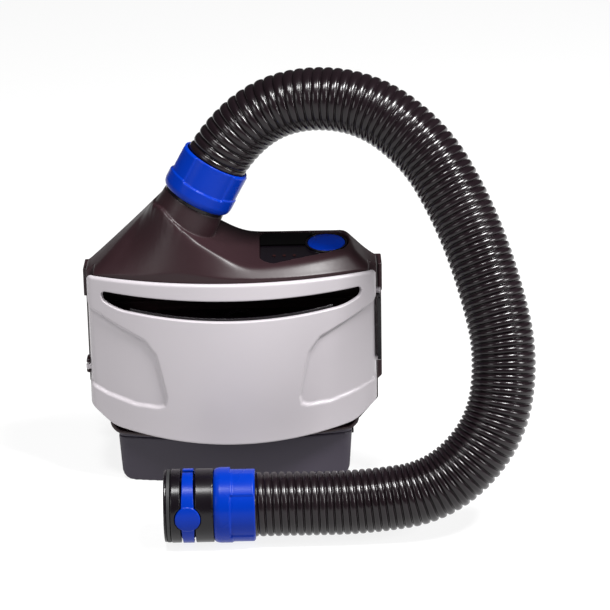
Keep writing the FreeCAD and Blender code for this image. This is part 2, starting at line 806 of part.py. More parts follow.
def filter_pieces():
    half = size("filter_half_width")
    low = size("filter_bottom")
    top = size("filter_top")
    front = size("filter_front")
    back = size("filter_back")
    frame = box((-half, half), (front, back), (low, top))
    opening = box((2.2 - half, half - 2.2), (front - 1, back + 1), (low + 2.2, top - 2.2))
    ledge = box((-half, half), (back - 1.5, back), (low, top))
    window = box((8 - half, half - 8), (back - 3, back + 1), (low + 8, top - 8))
    frame = frame.cut(opening).fuse(ledge.cut(window))
    tab_x = 6.2
    tab_z = top - 10.3
    pull_tab = tube(15.5, 14.2, (tab_x, front, tab_z), (tab_x, front + 2.2, tab_z))
    frame = frame.fuse(pull_tab.common(box((-20, 40), (front - 1, front + 3), (top - 1, top + 20))))
    free_form("filter_frame", largest_solid(frame))

    reach = half - 2.6
    count = int(2 * reach / size("pleat_pitch"))
    pitch = 2 * reach / count
    fold_front = front + 4.6
    fold_back = back - 2.5
    near = []
    far = []
    for number in range(2 * count + 1):
        x = -reach + number * pitch / 2
        y = fold_back if number % 2 else fold_front
        near.append(Vector(x, y - 0.6, low + 2.6))
        far.append(Vector(x, y + 0.6, low + 2.6))
    outline = near + far[::-1]
    paper = Part.Face(Part.makePolygon(outline + outline[:1]))
    free_form("filter_media", paper.extrude(Vector(0, 0, top - low - 5.2)))

    block(
        "prefilter_pad",
        "2 * (Sizes.filter_half_width - 2.5)",
        "2.4",
        "Sizes.filter_top - Sizes.filter_bottom - 5",
        ("0", "Sizes.filter_front + 2.4", "Sizes.filter_bottom + 2.5"),
    )
    screen = box((2.5 - half, half - 2.5), (front, front + 0.8), (low + 2.5, top - 2.5))
    slots = []
    columns = 18
    rows = 9
    for i in range(columns):
        for j in range(rows):
            x = -half + 7.5 + i * (2 * half - 15.0) / (columns - 1)
            z = low + 7.0 + j * (top - low - 14.0) / (rows - 1)
            slots.append(box((x - 3.0, x + 3.0), (front - 1, front + 2), (z - 2.6, z + 2.6)))
    free_form("spark_screen", screen.cut(Part.Compound(slots)))

    seal = tube(24.5, 20.5, (size("blower_x"), back + 0.1, size("blower_z")),
                (size("blower_x"), size("bulkhead_front"), size("blower_z")))
    free_form("filter_gasket", seal)


# ------------------------------------------------------------------ blower


def scroll_outline(offset, outlet_grow):
    """Scroll casing of four quarter arcs whose radius grows to the outlet."""
    cx = size("blower_x")
    cz = size("blower_z")
    start = size("scroll_start") + offset
    growth = size("scroll_growth") / 270.0

    def rim(turned_by):
        radius = start + growth * turned_by
        angle = math.radians(90.0 - turned_by)
        return (cx + radius * math.cos(angle), cz + radius * math.sin(angle))

    edges = []
    for quarter in range(3):
        first = 90.0 * quarter
        edges.append(arc_xz(rim(first), rim(first + 45.0), rim(first + 90.0)))
    left = rim(270.0)
    high = cz + 48.0
    tongue = (cx - 14.0 + offset, high)
    edges.append(line_xz(left, (left[0], high + outlet_grow)))
    edges.append(line_xz((left[0], high + outlet_grow), (tongue[0], high + outlet_grow)))
    edges.append(line_xz((tongue[0], high + outlet_grow), (tongue[0], rim(0.0)[1])))
    edges.append(line_xz((tongue[0], rim(0.0)[1]), rim(0.0)))
    return Part.Wire(edges)


def blower_pieces():
    cx = size("blower_x")
    cz = size("blower_z")
    front = size("scroll_front")
    depth = size("scroll_depth")
    wall = size("scroll_wall")
    casing = prism_xz(scroll_outline(0.0, 0.0), front, front + depth)
    hollow = prism_xz(scroll_outline(-wall, 2.0), front + wall, front + depth + 1)
    casing = casing.cut(hollow)
    casing = casing.cut(rod(19.0, (cx, front - 1, cz), (cx, front + 4, cz)))
    casing = casing.fuse(tube(21.0, 19.0, (cx, front - 1.2, cz), (cx, front + wall, cz)))
    free_form("blower_scroll", largest_solid(casing))

    plate = prism_xz(scroll_outline(0.0, 0.0), front + depth, front + depth + 2.0)
    plate = plate.cut(rod(6.0, (cx, 0, cz), (cx, 40, cz)))
    free_form("blower_back_plate", largest_solid(plate))

    seal = tube(24.0, 21.2, (cx, size("step_back") - 0.1, cz), (cx, front - 0.1, cz))
    free_form("inlet_seal", seal)

    hub = rod(size("impeller_radius"), (cx, 19.4, cz), (cx, 20.8, cz))
    eye = tube(size("impeller_radius"), 19.0, (cx, 7.0, cz), (cx, 8.2, cz))
    boss = rod(5.0, (cx, 9.0, cz), (cx, 20.8, cz))
    blades = []
    blade_count = 22
    for number in range(blade_count):
        blade = box((19.6, 28.6), (8.2, 19.4), (-0.45, 0.45))
        blade.rotate(Vector(19.6, 0, 0), Vector(0, 1, 0), 38.0)
        blade = blade.common(rod(size("impeller_radius"), (0, 0, 0), (0, 40, 0)))
        blade.rotate(Vector(), Vector(0, 1, 0), 360.0 * number / blade_count)
        blade.translate(Vector(cx, 0, cz))
        blades.append(blade)
    wheel = hub.fuse([eye, boss] + blades)
    wheel = wheel.cut(rod(size("shaft_radius"), (cx, 0, cz), (cx, 40, cz)))
    free_form("impeller", largest_solid(wheel))

    at_blower = ("Sizes.blower_x", "0", "Sizes.blower_z")
    turned("rotor_shaft", [("Sizes.shaft_radius", None, "8.2", "26")], ALONG_Y, at_blower)
    turned(
        "rotor_bell",
        [
            ("Sizes.motor_radius", "Sizes.motor_radius - 1.6", "26.2", "7.4"),
            ("Sizes.motor_radius", "Sizes.shaft_radius", "33.0", "1.2"),
        ],
        ALONG_Y,
        at_blower,
    )
    turned(
        "motor_bearings",
        [
            ("Sizes.shaft_radius + 2.4", "Sizes.shaft_radius + 0.06", "23.4", "2.2"),
            ("Sizes.shaft_radius + 2.4", "Sizes.shaft_radius + 0.06", "25.6", "5.6"),
        ],
        ALONG_Y,
        at_blower,
    )
    core = tube(9.4, size("shaft_radius") + 2.5, (cx, 25.2, cz), (cx, 31.6, cz))
    core = core.fuse(tube(11.8, 9.0, (cx, 26.6, cz), (cx, 31.6, cz)))
    for number in range(9):
        gap = box((9.6, 12.5), (26.0, 32.0), (-1.0, 1.0))
        gap.rotate(Vector(), Vector(0, 1, 0), 40.0 * number)
        gap.translate(Vector(cx, 0, cz))
        core = core.cut(gap)
    free_form("motor_stator", largest_solid(core))


def port_ring(radius, along):
    """A circle round the port's axis, as four arcs that start at its front left."""
    place_on_port = Placement(port_point(along), PORT_TURN)

    def at(degrees):
        angle = math.radians(degrees)
        return place_on_port.multVec(Vector(radius * math.cos(angle), radius * math.sin(angle), 0))

    arcs = []
    for first in (225, 315, 45, 135):
        arcs.append(Part.Arc(at(first), at(first + 45), at(first + 90)).toShape())
    return Part.Wire(arcs)


def outlet_duct():
    """Air path from the scroll's square mouth to the round port."""
    wall = size("scroll_wall")
    cx = size("blower_x")
    left = cx - size("scroll_start") - size("scroll_growth")
    right = cx - 14.0
    front = size("scroll_front")
    back = front + size("scroll_depth")
    mouth = size("blower_z") + 48.2
    bend = size("ceiling") + size("shell_wall") + 0.5

    def square_at(shrink, height):
        corners = [
            Vector(left + shrink, front + shrink, height),
            Vector(right - shrink, front + shrink, height),
            Vector(right - shrink, back - shrink, height),
            Vector(left + shrink, back - shrink, height),
        ]
        return Part.makePolygon(corners + corners[:1])

    def path(shrink, overrun):
        rise = bend - mouth + overrun
        straight = Part.Face(square_at(shrink, mouth - overrun)).extrude(Vector(0, 0, rise))
        round_end = port_ring(17.4 - shrink, -size("neck_length") - 0.2 + overrun)
        return straight.fuse(Part.makeLoft([square_at(shrink, bend), round_end], True, True))

    free_form("outlet_duct", largest_solid(path(0.0, 0.0).cut(path(wall, 0.4))))


# ------------------------------------------------- electronics, top pocket


def pocket_pieces():
    x = size("button_x")
    y = size("button_y")
    thickness = size("panel_thickness")
    left = size("pocket_left")
    back = size("pocket_back")
    bezel = size("bezel_radius")
    in_pocket = pocket_outline(-0.3, 140).extrude(Vector(0, 0, 60))
    panel = in_pocket.cut(below_floor(-0.1)).common(below_floor(-0.1 - thickness))
    ring = rod(bezel, deck_point(x, y, 0.1), deck_point(x, y, size("bezel_height")))
    panel = panel.fuse(ring.common(in_pocket)).cut(button_hole())
    free_form("pocket_panel", largest_solid(panel))

    # the display window leans up from the panel to the pocket's back edge
    rest = thickness + 0.2
    front = 5.5
    section = [
        deck_point(left + 0.4, front, rest),
        deck_point(left + 0.4, back - 0.4, rest),
        deck_point(left + 0.4, back - 0.4, size("pocket_depth") - 0.4),
        deck_point(left + 0.4, front, rest + 1.0),
    ]
    lens = Part.Face(Part.makePolygon(section + section[:1])).extrude(Vector(40, 0, 0))
    lens = lens.cut(rod(bezel + 0.3, deck_point(x, y, -2), deck_point(x, y, 20)))
    free_form("display_lens", largest_solid(lens.common(in_pocket)))
    lights = []
    for number in range(3):
        light = Part.makeCylinder(1.1, 0.7, Vector(0, 0, rest - 0.1))
        light.Placement = Placement(deck_point(30.0 + 7.0 * number, -10.0), DECK_TURN)
        lights.append(light)
    free_form("indicator_lights", Part.Compound(lights))

    travel_room = 0.4
    wall = size("shell_wall")
    cap = Part.makeCylinder(size("button_radius"), 7.4 + wall, Vector(0, 0, -wall - 3.4))
    dome = Part.makeSphere(48.0, Vector(0, 0, size("pocket_depth") - 48.0))
    cap = cap.common(dome)
    flange = Part.makeCylinder(size("button_radius") + 1.4, 1.2, Vector(0, 0, -wall - travel_room - 1.2))
    stem = Part.makeCylinder(2.6, 6.0, Vector(0, 0, -wall - 9.0))
    button = cap.fuse([flange, stem])
    button.Placement = Placement(deck_point(x, y), DECK_TURN)
    free_form("power_button", largest_solid(button))

    board_top = 144.9
    board = box((26, 84), (-3, 22), (board_top - 1.6, board_top))
    free_form("control_board", board)
    chips = [
        box((30, 40), (2, 12), (board_top, board_top + 1.4)),
        box((44, 49), (4, 9), (board_top, board_top + 1.2)),
        box((44, 52), (12, 18), (board_top, board_top + 2.2)),
        box((62.0, 71.0), (3.9, 12.9), (board_top, board_top + 1.8)),
    ]
    free_form("board_components", Part.Compound(chips))
    x, y = 66.5, 8.4
    dome_top = tube(4.4, 3.0, (x, y, board_top + 1.9), (x, y, board_top + 3.2))
    cap_top = rod(4.4, (x, y, board_top + 3.2), (x, y, board_top + 4.0))
    free_form("switch_dome", dome_top.fuse(cap_top).removeSplitter())
    turned("sounder", [("6", None, "0", "4")], at=("77.6", "15", "%g" % board_top))
    turned("vibration_motor", [("5", None, "0", "16")], ALONG_X, ("66", "24", "56"))


# ----------------------------------------------------------------- battery


def battery_plan(inset, low, high):
    """Plan of the pack as a solid, with a gently arched front."""
    half = size("battery_half_top") - inset
    front = size("battery_front") + inset
    radius = size("battery_front_radius")
    back = size("battery_back") - inset
    drop = radius - math.sqrt(radius * radius - half * half)
    edges = [
        Part.Arc(
            Vector(-half, front + drop, low), Vector(0, front, low), Vector(half, front + drop, low)
        ).toShape(),
        Part.makeLine(Vector(half, front + drop, low), Vector(half, back, low)),
        Part.makeLine(Vector(half, back, low), Vector(-half, back, low)),
        Part.makeLine(Vector(-half, back, low), Vector(-half, front + drop, low)),
    ]
    solid = Part.Face(Part.Wire(edges)).extrude(Vector(0, 0, high - low))
    corners = [edge for edge in solid.Edges if edge.BoundBox.ZLength > 5]
    return solid.makeFillet(8.0 - inset, corners)


def battery_front_view(inset, low, high):
    """Front view of the pack: sloping sides and rounded bottom corners."""
    top = size("battery_half_top") - inset
    foot = size("battery_half_bottom") - inset
    corner = size("battery_corner") - inset
    fraction = (low + corner) / size("battery_top")
    side = foot + (top - foot) * fraction
    turn = corner * (1.0 - math.sqrt(0.5))
    upper = foot + (top - foot) * high / size("battery_top")
    edges = [
        line_xz((corner - foot, low), (foot - corner, low)),
        arc_xz((foot - corner, low), (side - turn - 0.4, low + turn), (side, low + corner)),
        line_xz((side, low + corner), (upper, high)),
        line_xz((upper, high), (-upper, high)),
        line_xz((-upper, high), (-side, low + corner)),
        arc_xz((-side, low + corner), (turn + 0.4 - side, low + turn), (corner - foot, low)),
    ]
    return Part.Wire(edges)


def battery_pieces():
    wall = size("battery_wall")
    top = size("battery_top")
    split = size("battery_split")
    outer = battery_plan(0.0, 0.0, top).common(prism_xz(battery_front_view(0.0, 0.0, top), -40, 45))
    hollow = battery_plan(wall, wall, top)
    hollow = hollow.common(prism_xz(battery_front_view(wall, wall, top + 5), -40, 45))
    hollow = hollow.cut(box((76.6, 90), (-12.8, 12.8), (0, 40)))
    notch = box((78.6, 90), (-10.8, 10.8), (14.0, 40))
    ears = box((78.0, 81.2), (-10.8, -8.6), (16.6, 21.4)).fuse(box((78.0, 81.2), (8.6, 10.8), (16.6, 21.4)))
    pin_hole = rod(0.8, (80.2, -14, 19), (80.2, 14, 19))
    case = outer.cut(hollow).cut(notch).fuse(ears).cut(pin_hole)
    case = case.cut(box((-120, 120), (-60, 60), (split, 60)))
    free_form("battery_case", largest_solid(case))

    lid = outer.cut(notch).common(box((-120, 120), (-60, 60), (split, top)))
    lid = lid.fuse(box((-85.0, -81.5), (19.0, 31.0), (split, split + 2.0)))
    lid = lid.cut(box((-18.2, 18.2), (11.8, 20.2), (30, 40)))
    free_form("battery_lid", largest_solid(lid))

    cells = []
    for side in (-1, 1):
        for row_number in range(3):
            y = 25.9 - size("cell_pitch") * row_number
            near = side * 0.9
            far = side * (0.9 + size("cell_length"))
            cells.append(rod(size("cell_radius"), (near, y, 13.0), (far, y, 13.0)))
    free_form("battery_cells", Part.Compound(cells))
    straps = [box((-0.7, 0.7), (-14, 30), (9, 17))]
    for side in (-1, 1):
        low, high = sorted((side * 66.1, side * 66.6))
        straps.append(box((low, high), (-14, 30), (9, 17)))
    free_form("cell_straps", Part.Compound(straps))
    block("battery_contacts", "36", "8", "5.4", ("0", "16", "30.6"), "1")
    block("bay_contacts", "40", "10", "5.4", ("0", "16", "36.7"), "1")

    blade = upright_polygon([(79.2, 19), (81.1, 19), (82.4, 35.6), (80.5, 35.6)])
    lever = prism_xz(blade, -8.4, 8.4)
    lever = lever.fuse(rod(1.3, (80.2, -8.4, 19), (80.2, 8.4, 19)))
    lever = lever.fuse(box((81.4, 83.6), (-7.0, 7.0), (26.8, 29.8)))
    for step in range(2):
        height = 23.0 + 2.4 * step
        lever = lever.cut(box((81.1, 83), (-6.0, 6.0), (height, height + 1.0)))
    lever = lever.cut(rod(0.87, (80.2, -14, 19), (80.2, 14, 19)))
    free_form("battery_latch", largest_solid(lever))
    turned("battery_latch_pin", [("0.8", None, "0", "21.6")], ALONG_Y, ("80.2", "-10.8", "19"))


# ------------------------------------------------- belt plate and fasteners


def belt_plate():
    half = size("unit_half_width")
    back = size("unit_back")
    top = 143.5
    outline = upright_polygon([(-90, 36.5), (90, 36.5), (half, 52), (half, top), (-half, top), (-half, 52)])
    shape = prism_xz(outline, back - 3.0, back)
    shape = shape.fuse(both_sides(box((102.2, half), (22.0, back), (123.2, top))))
    for x, z in belt_screw_places():
        shape = shape.fuse(rod(5.0, (x, size("back_face"), z), (x, back - 1, z)))
        shape = shape.cut(rod(size("screw_radius") + 0.1, (x, 30, z), (x, 50, z)))
        shape = shape.cut(rod(size("screw_head") + 0.2, (x, back - 2.0, z), (x, 50, z)))
    for side in (-1, 1):
        low, high = sorted((side * 80.0, side * 88.0))
        shape = shape.cut(box((low, high), (30, 50), (62.0, 118.0)))
    corners = [(-34, 62), (34, 62), (40, 86), (34, 110), (-34, 110), (-40, 86)]
    window = prism_xz(upright_polygon(corners), 30, 50)
    shape = shape.cut(window)
    free_form("belt_plate", largest_solid(shape))


def screw(head_face, depth, x, z):
    """A pan-head screw driven from the back, its head face at a given depth."""
    head = rod(size("screw_head"), (x, head_face - 1.7, z), (x, head_face, z))
    shank = rod(size("screw_radius"), (x, head_face - 1.7 - depth, z), (x, head_face - 1.7, z))
    recess = box((x - 0.4, x + 0.4), (head_face - 0.9, head_face + 1), (z - 1.8, z + 1.8))
    cross = box((x - 1.8, x + 1.8), (head_face - 0.9, head_face + 1), (z - 0.4, z + 0.4))
    return head.fuse(shank).cut(recess.fuse(cross)).removeSplitter()


def fasteners():
    housing = [screw(size("back_face") - 0.4, 30.0, x, z) for x, z in boss_places()]
    free_form("housing_screws", Part.Compound(housing))
    belt = [screw(size("unit_back") - 0.2, 6.6, x, z) for x, z in belt_screw_places()]
    free_form("belt_plate_screws", Part.Compound(belt))


# ------------------------------------------------ port, hose and end pieces


def port_pieces():
    bore = size("port_bore")
    spigot = size("spigot_radius")
    port = rod(spigot, port_point(-12.0), port_point(16.0))
    port = port.fuse(rod(size("neck_radius") - 0.2, port_point(-2.5), port_point(-0.5)))
    port = port.cut(rod(bore, port_point(-20), port_point(20)))
    lugs = []
    for turn in (0, 180):
        lug = box((spigot - 0.5, 21.6), (-3.0, 3.0), (2.2, 4.8))
        lug = lug.common(rod(21.6, (0, 0, 0), (0, 0, 10)))
        lug.rotate(Vector(), Vector(0, 0, 1), turn)
        lug.Placement = Placement(port_point(0), PORT_TURN).multiply(lug.Placement)
        lugs.append(lug)
    free_form("outlet_port", largest_solid(port.fuse(lugs)))

    at_port = ("Sizes.port_x", "Sizes.port_y", "Sizes.port_z")
    turned(
        "port_seal",
        [("Sizes.spigot_radius", "Sizes.port_bore + 0.4", "0", "1.8")],
        PORT_TURN,
        tuple("%.6f" % value for value in port_point(16.1)),
    )
    turned(
        "hose_cuff_upper",
        [
            ("Sizes.hose_radius", "Sizes.spigot_radius + 0.1", "8", "8"),
            ("Sizes.hose_radius", "Sizes.port_bore + 1", "18", "2"),
            ("Sizes.hose_radius", "Sizes.spigot_radius + 0.1", "16", "2"),
        ],
        PORT_TURN,
        at_port,
    )

    blank = tube(size("collar_radius"), size("collar_bore"), (0, 0, 7), (0, 0, size("collar_length")))
    foot = tube(size("collar_radius"), spigot + 0.6, (0, 0, 0), (0, 0, 7))
    collar = blank.fuse(foot)
    track = Part.makeCylinder(22.2, 3.4, Vector(0, 0, 1.8), Vector(0, 0, 1), 62)
    for turn in (0, 180):
        path = track.copy()
        path.rotate(Vector(), Vector(0, 0, 1), turn - 10.5)
        collar = collar.cut(path)
        entry = Part.makeCylinder(22.2, 6.0, Vector(0, 0, -1), Vector(0, 0, 1), 22)
        entry.rotate(Vector(), Vector(0, 0, 1), turn + 29.5)
        collar = collar.cut(entry)
    collar = shape_collar(collar, size("collar_length"))
    collar.Placement = Placement(port_point(0), PORT_TURN)
    free_form("hose_collar_upper", largest_solid(collar))


def shape_collar(collar, length):
    """Bevel a collar's rims and cut the shallow steps between its finger grips."""
    radius = size("collar_radius")
    ledge = size("collar_step_start") + 1.2
    upper = radius - size("collar_ledge")
    outline = Part.makeCone(radius - 1.6, radius - 0.5, 1.6)
    outline = outline.fuse(Part.makeCone(radius - 0.5, radius, 2.4, Vector(0, 0, 1.6)))
    outline = outline.fuse(Part.makeCylinder(radius, ledge - 4.0, Vector(0, 0, 4.0)))
    outline = outline.fuse(Part.makeCylinder(upper, length - ledge - 1.2, Vector(0, 0, ledge)))
    outline = outline.fuse(Part.makeCone(upper, upper - 1.2, 1.2, Vector(0, 0, length - 1.2)))
    collar = collar.common(outline)
    inner = radius - size("collar_step")
    angle = size("collar_step_angle")
    foot = Vector(0, 0, size("collar_step_start"))
    steps = []
    for turn in range(3):
        gap = Part.makeCylinder(radius + 2, 30, foot, Vector(0, 0, 1), angle)
        gap = gap.cut(Part.makeCylinder(inner, 50))
        gap.rotate(Vector(), Vector(0, 0, 1), 120.0 * turn + 270.0 - angle / 2.0)
        steps.append(gap)
    return collar.cut(Part.Compound(steps))


def hose_wire():
    """Straight runs joined by tangent arcs; returns the path, its length and radii."""
    start = size("hose_start")
    points = [port_point(start), port_point(start + size("hose_first_run"))]
    points += [Vector(*point) for point in HOSE_ROUTE]
    edges = []
    radii = []
    last = points[0]
    for before, corner, after in zip(points, points[1:], points[2:]):
        into = (corner - before).normalize()
        out = (after - corner).normalize()
        half_turn = into.getAngle(out) / 2.0
        reach = 0.45 * min((corner - before).Length, (after - corner).Length)
        radius = reach / math.tan(half_turn)
        radii.append(radius)
        start = corner - into * reach
        end = corner + out * reach
        inward = (out - into).normalize()
        middle = corner + inward * (radius / math.cos(half_turn) - radius)
        edges.append(Part.LineSegment(last, start).toShape())
        edges.append(Part.Arc(start, middle, end).toShape())
        last = end
    edges.append(Part.LineSegment(last, points[-1]).toShape())
    wire = Part.Wire(edges)
    return wire, wire.Length, radii


def hose_tube():
    wire, length, radii = hose_wire()
    first = port_point(size("hose_start"))
    axis = port_point(1) - port_point(0)
    solids = []
    for radius in (size("hose_radius"), size("hose_radius") - size("hose_wall")):
        section = Part.Wire([Part.Circle(first, axis, radius).toShape()])
        solids.append(wire.makePipeShell([section], True, False))
    hollow = solids[0].cut(solids[1])
    outer = size("hose_radius")
    inner = outer - size("hose_wall")
    expected = math.pi * (outer * outer - inner * inner) * length
    print("hose length %.1f, volume %.0f of %.0f" % (length, hollow.Volume, expected))
    print("hose bend radii", [round(radius) for radius in radii])
    if abs(hollow.Volume / expected - 1.0) > 0.02:
        raise ValueError("the hose's volume does not match its length")
    free_form("hose_tube", largest_solid(hollow))


def along_line(x):
    """A point on the axis of the pieces at the hose's free end."""
    return (x, size("line_y"), size("line_z"))


def end_pieces():
    at_end = ("0", "Sizes.line_y", "Sizes.line_z")
    turned(
        "hose_cuff_lower",
        [
            ("Sizes.hose_radius", "Sizes.cuff_bore", "-12.4", "Sizes.hose_end_x + 12.4"),
            ("Sizes.journal_radius", "Sizes.cuff_bore", "-24", "11.6"),
        ],
        ALONG_X,
        at_end,
    )
    length = size("lower_collar_length")
    blank = tube(size("collar_radius"), size("hose_radius") + 0.02, (0, 0, 0), (0, 0, length))
    collar = shape_collar(blank, length)
    collar.Placement = Placement(Vector(*along_line(size("lower_collar_start"))), ALONG_X)
    free_form("hose_collar_lower", largest_solid(collar))

    radius = size("connector_radius")
    left = size("connector_left")
    right = size("connector_right")
    body = rod(radius - 0.6, along_line(left), along_line(left + 5.2))
    body = body.fuse(rod(radius, along_line(left + 5.0), along_line(right)))
    body = body.cut(tube(radius + 1, 22.3, along_line(left + 1.8), along_line(left + 4.4)))
    groove_left = size("band_x") - size("band_width") / 2 - 0.4
    groove_right = size("band_x") + size("band_width") / 2 + 0.4
    body = body.cut(tube(radius + 1, 21.0, along_line(groove_left), along_line(groove_right)))
    for side in (-1, 1):
        socket = rod(
            size("pad_radius") + 0.4,
            (size("band_x"), size("line_y"), size("line_z")),
            (size("band_x"), size("line_y") + side * 30, size("line_z")),
        )
        body = body.cut(socket.cut(rod(21.0, along_line(left), along_line(right))))
    body = body.cut(rod(size("connector_bore"), along_line(left - 1), along_line(right + 1)))
    body = body.cut(rod(size("journal_radius") + 0.06, along_line(-24.3), along_line(right + 1)))
    free_form("end_connector", largest_solid(body))
    turned(
        "connector_seal",
        [("24.3", "22.3", "Sizes.connector_left + 2.1", "2.0")],
        ALONG_X,
        at_end,
    )
    for side, name in ((-1, "front"), (1, "rear")):
        release_pad(name, side)


def release_pad(name, side):
    """Half of the release band: a round finger pad on a C-shaped strap."""
    middle = size("band_x")
    half = size("band_width") / 2
    outer = size("band_radius")
    line_y = size("line_y")
    line_z = size("line_z")
    strap = tube(outer - 0.5, outer - 2.2, along_line(middle - half), along_line(middle + half))
    pad = rod(size("pad_radius"), (middle, line_y, line_z), (middle, line_y + side * 30, line_z))
    pad = pad.common(tube(outer, outer - 2.2, along_line(middle - 12), along_line(middle + 12)))
    narrow = half - 1.0
    waist = upright_polygon([
        (middle - narrow, line_z - 26),
        (middle + narrow, line_z - 26),
        (middle + half, line_z),
        (middle + narrow, line_z + 26),
        (middle - narrow, line_z + 26),
        (middle - half, line_z),
    ])
    strap = strap.common(prism_xz(waist, line_y - 40, line_y + 40))
    shape = strap.fuse(pad)
    near, far = sorted((line_y + side * (size("pad_travel") + 0.4), line_y + side * 40))
    keep = box((middle - 20, middle + 20), (near, far), (line_z - 40, line_z + 40))
    free_form("release_pad_" + name, largest_solid(shape.common(keep)))


# ------------------------------------------------------------------- build

upper_housing()
rear_housing()
filter_bulkhead()
filter_cover()
slot_trim()
cover_latch()
filter_pieces()
blower_pieces()
outlet_duct()
pocket_pieces()
battery_pieces()
belt_plate()
fasteners()
port_pieces()
hose_tube()
end_pieces()
doc.recompute()

for item in doc.Objects:
    bad = [word for word in item.State if word in ("Invalid", "Error")]
    if bad:
        raise ValueError("%s is %s" % (item.Label, bad))
for item in subparts:
    if item.Shape.isNull() or not item.Shape.isValid() or not item.Shape.Solids:
        raise ValueError("%s has no valid solid" % item.Label)

os.makedirs("parts", exist_ok=True)
for item in subparts:
    item.Shape.exportStep("parts/%s.step" % item.Label)
print("%d sub-parts written" % len(subparts))
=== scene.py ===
import bmesh
import bpy
import json
import math
import numpy as np
from mathutils import Matrix, Vector

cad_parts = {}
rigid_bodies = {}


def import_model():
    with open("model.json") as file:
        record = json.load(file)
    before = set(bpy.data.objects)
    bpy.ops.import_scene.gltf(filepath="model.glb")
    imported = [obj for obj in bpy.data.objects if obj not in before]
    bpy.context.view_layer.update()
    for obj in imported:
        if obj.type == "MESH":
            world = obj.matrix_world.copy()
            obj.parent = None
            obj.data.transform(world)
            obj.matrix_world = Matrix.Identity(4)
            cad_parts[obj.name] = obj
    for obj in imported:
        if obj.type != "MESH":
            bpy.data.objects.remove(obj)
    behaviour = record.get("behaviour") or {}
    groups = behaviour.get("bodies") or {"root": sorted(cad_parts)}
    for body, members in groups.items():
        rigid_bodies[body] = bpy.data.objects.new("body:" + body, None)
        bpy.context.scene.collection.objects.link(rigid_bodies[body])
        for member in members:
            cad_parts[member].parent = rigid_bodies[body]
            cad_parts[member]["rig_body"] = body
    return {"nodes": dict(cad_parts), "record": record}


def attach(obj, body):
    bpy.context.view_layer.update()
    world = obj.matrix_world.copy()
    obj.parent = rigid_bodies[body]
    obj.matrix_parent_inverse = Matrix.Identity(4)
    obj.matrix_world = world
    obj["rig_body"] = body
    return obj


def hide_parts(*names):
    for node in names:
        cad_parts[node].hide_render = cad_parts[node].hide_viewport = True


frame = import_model()
scene = bpy.context.scene
nodes = frame["nodes"]
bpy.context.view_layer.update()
MM = 0.001

# ------------------------------------------------------------------ camera

VIEW_TARGET = Vector((0.05075, 0.0, 0.1208))
VIEW_ELEVATION = math.radians(19.0)
VIEW_DISTANCE = 1.9
VIEW_ROLL = math.radians(1.1)
SENSOR = 36.0
FIELD_WIDTH = 0.427
CLIP_NEAR = 0.05
CLIP_FAR = 60.0


def make_camera():
    """The camera stands in front of the unit and looks down on it."""
    data = bpy.data.cameras.new("camera")
    camera = bpy.data.objects.new("camera", data)
    scene.collection.objects.link(camera)
    backward = Vector((0, -math.cos(VIEW_ELEVATION), math.sin(VIEW_ELEVATION)))
    level = Vector((1, 0, 0))
    upright = backward.cross(level)
    across = level * math.cos(VIEW_ROLL) - upright * math.sin(VIEW_ROLL)
    up = upright * math.cos(VIEW_ROLL) + level * math.sin(VIEW_ROLL)
    axes = Matrix((across, up, backward)).transposed()
    camera.location = VIEW_TARGET + backward * VIEW_DISTANCE
    camera.rotation_mode = "QUATERNION"
    camera.rotation_quaternion = axes.to_quaternion()
    data.sensor_width = SENSOR
    data.lens = SENSOR * VIEW_DISTANCE / FIELD_WIDTH
    data.clip_start = CLIP_NEAR
    data.clip_end = CLIP_FAR
    scene.camera = camera


make_camera()

# --------------------------------------------------------------- materials

WHITE = (1.0, 1.0, 1.0, 1.0)
PATTERN_LOW = 0.3
PATTERN_HIGH = 0.7
FLOW_MARK_SCALE = 26.0
GLOSS_SPREAD = 0.04
DRAWN_LINE_SCALE = (60.0, 60.0, 2600.0)
DRAWN_LINE_DEPTH = 0.01 * MM
DRAWN_LINE_SHADE = 0.85
DRAWN_LINE_SHINIER = 0.06
DRAWN_LINE_DULLER = 0.08
FIBRE_DEPTH = 0.15 * MM
FIBRE_SHADE = 0.82
FIBRE_ROUGHNESS = 0.9


def material(name):
    """A new node material and its three working parts."""
    made = bpy.data.materials.new(name)
    made.use_nodes = True
    tree = made.node_tree
    tree.nodes.clear()
    shader = tree.nodes.new("ShaderNodeBsdfPrincipled")
    output = tree.nodes.new("ShaderNodeOutputMaterial")
    tree.links.new(shader.outputs[0], output.inputs[0])
    place = tree.nodes.new("ShaderNodeTexCoord")
    return made, tree, shader, place


def noise(tree, place, scale, detail=2.0, roughness=0.5):
    """A noise pattern in the piece's own coordinates; scale is repeats per metre."""
    node = tree.nodes.new("ShaderNodeTexNoise")
    node.inputs["Scale"].default_value = scale
    node.inputs["Detail"].default_value = detail
    node.inputs["Roughness"].default_value = roughness
    tree.links.new(place.outputs["Object"], node.inputs["Vector"])
    return node


def ramp(tree, source, low, high):
    """Turns a pattern into a value between low and high."""
    node = tree.nodes.new("ShaderNodeMapRange")
    node.inputs["From Min"].default_value = PATTERN_LOW
    node.inputs["From Max"].default_value = PATTERN_HIGH
    node.inputs["To Min"].default_value = low
    node.inputs["To Max"].default_value = high
    tree.links.new(source, node.inputs["Value"])
    return node.outputs["Result"]


def tint(tree, factor, dark, light):
    """Mixes two close colours by a pattern."""
    node = tree.nodes.new("ShaderNodeMix")
    node.data_type = "RGBA"
    node.inputs["A"].default_value = (*dark, 1.0)
    node.inputs["B"].default_value = (*light, 1.0)
    tree.links.new(factor, node.inputs["Factor"])
    return node.outputs["Result"]


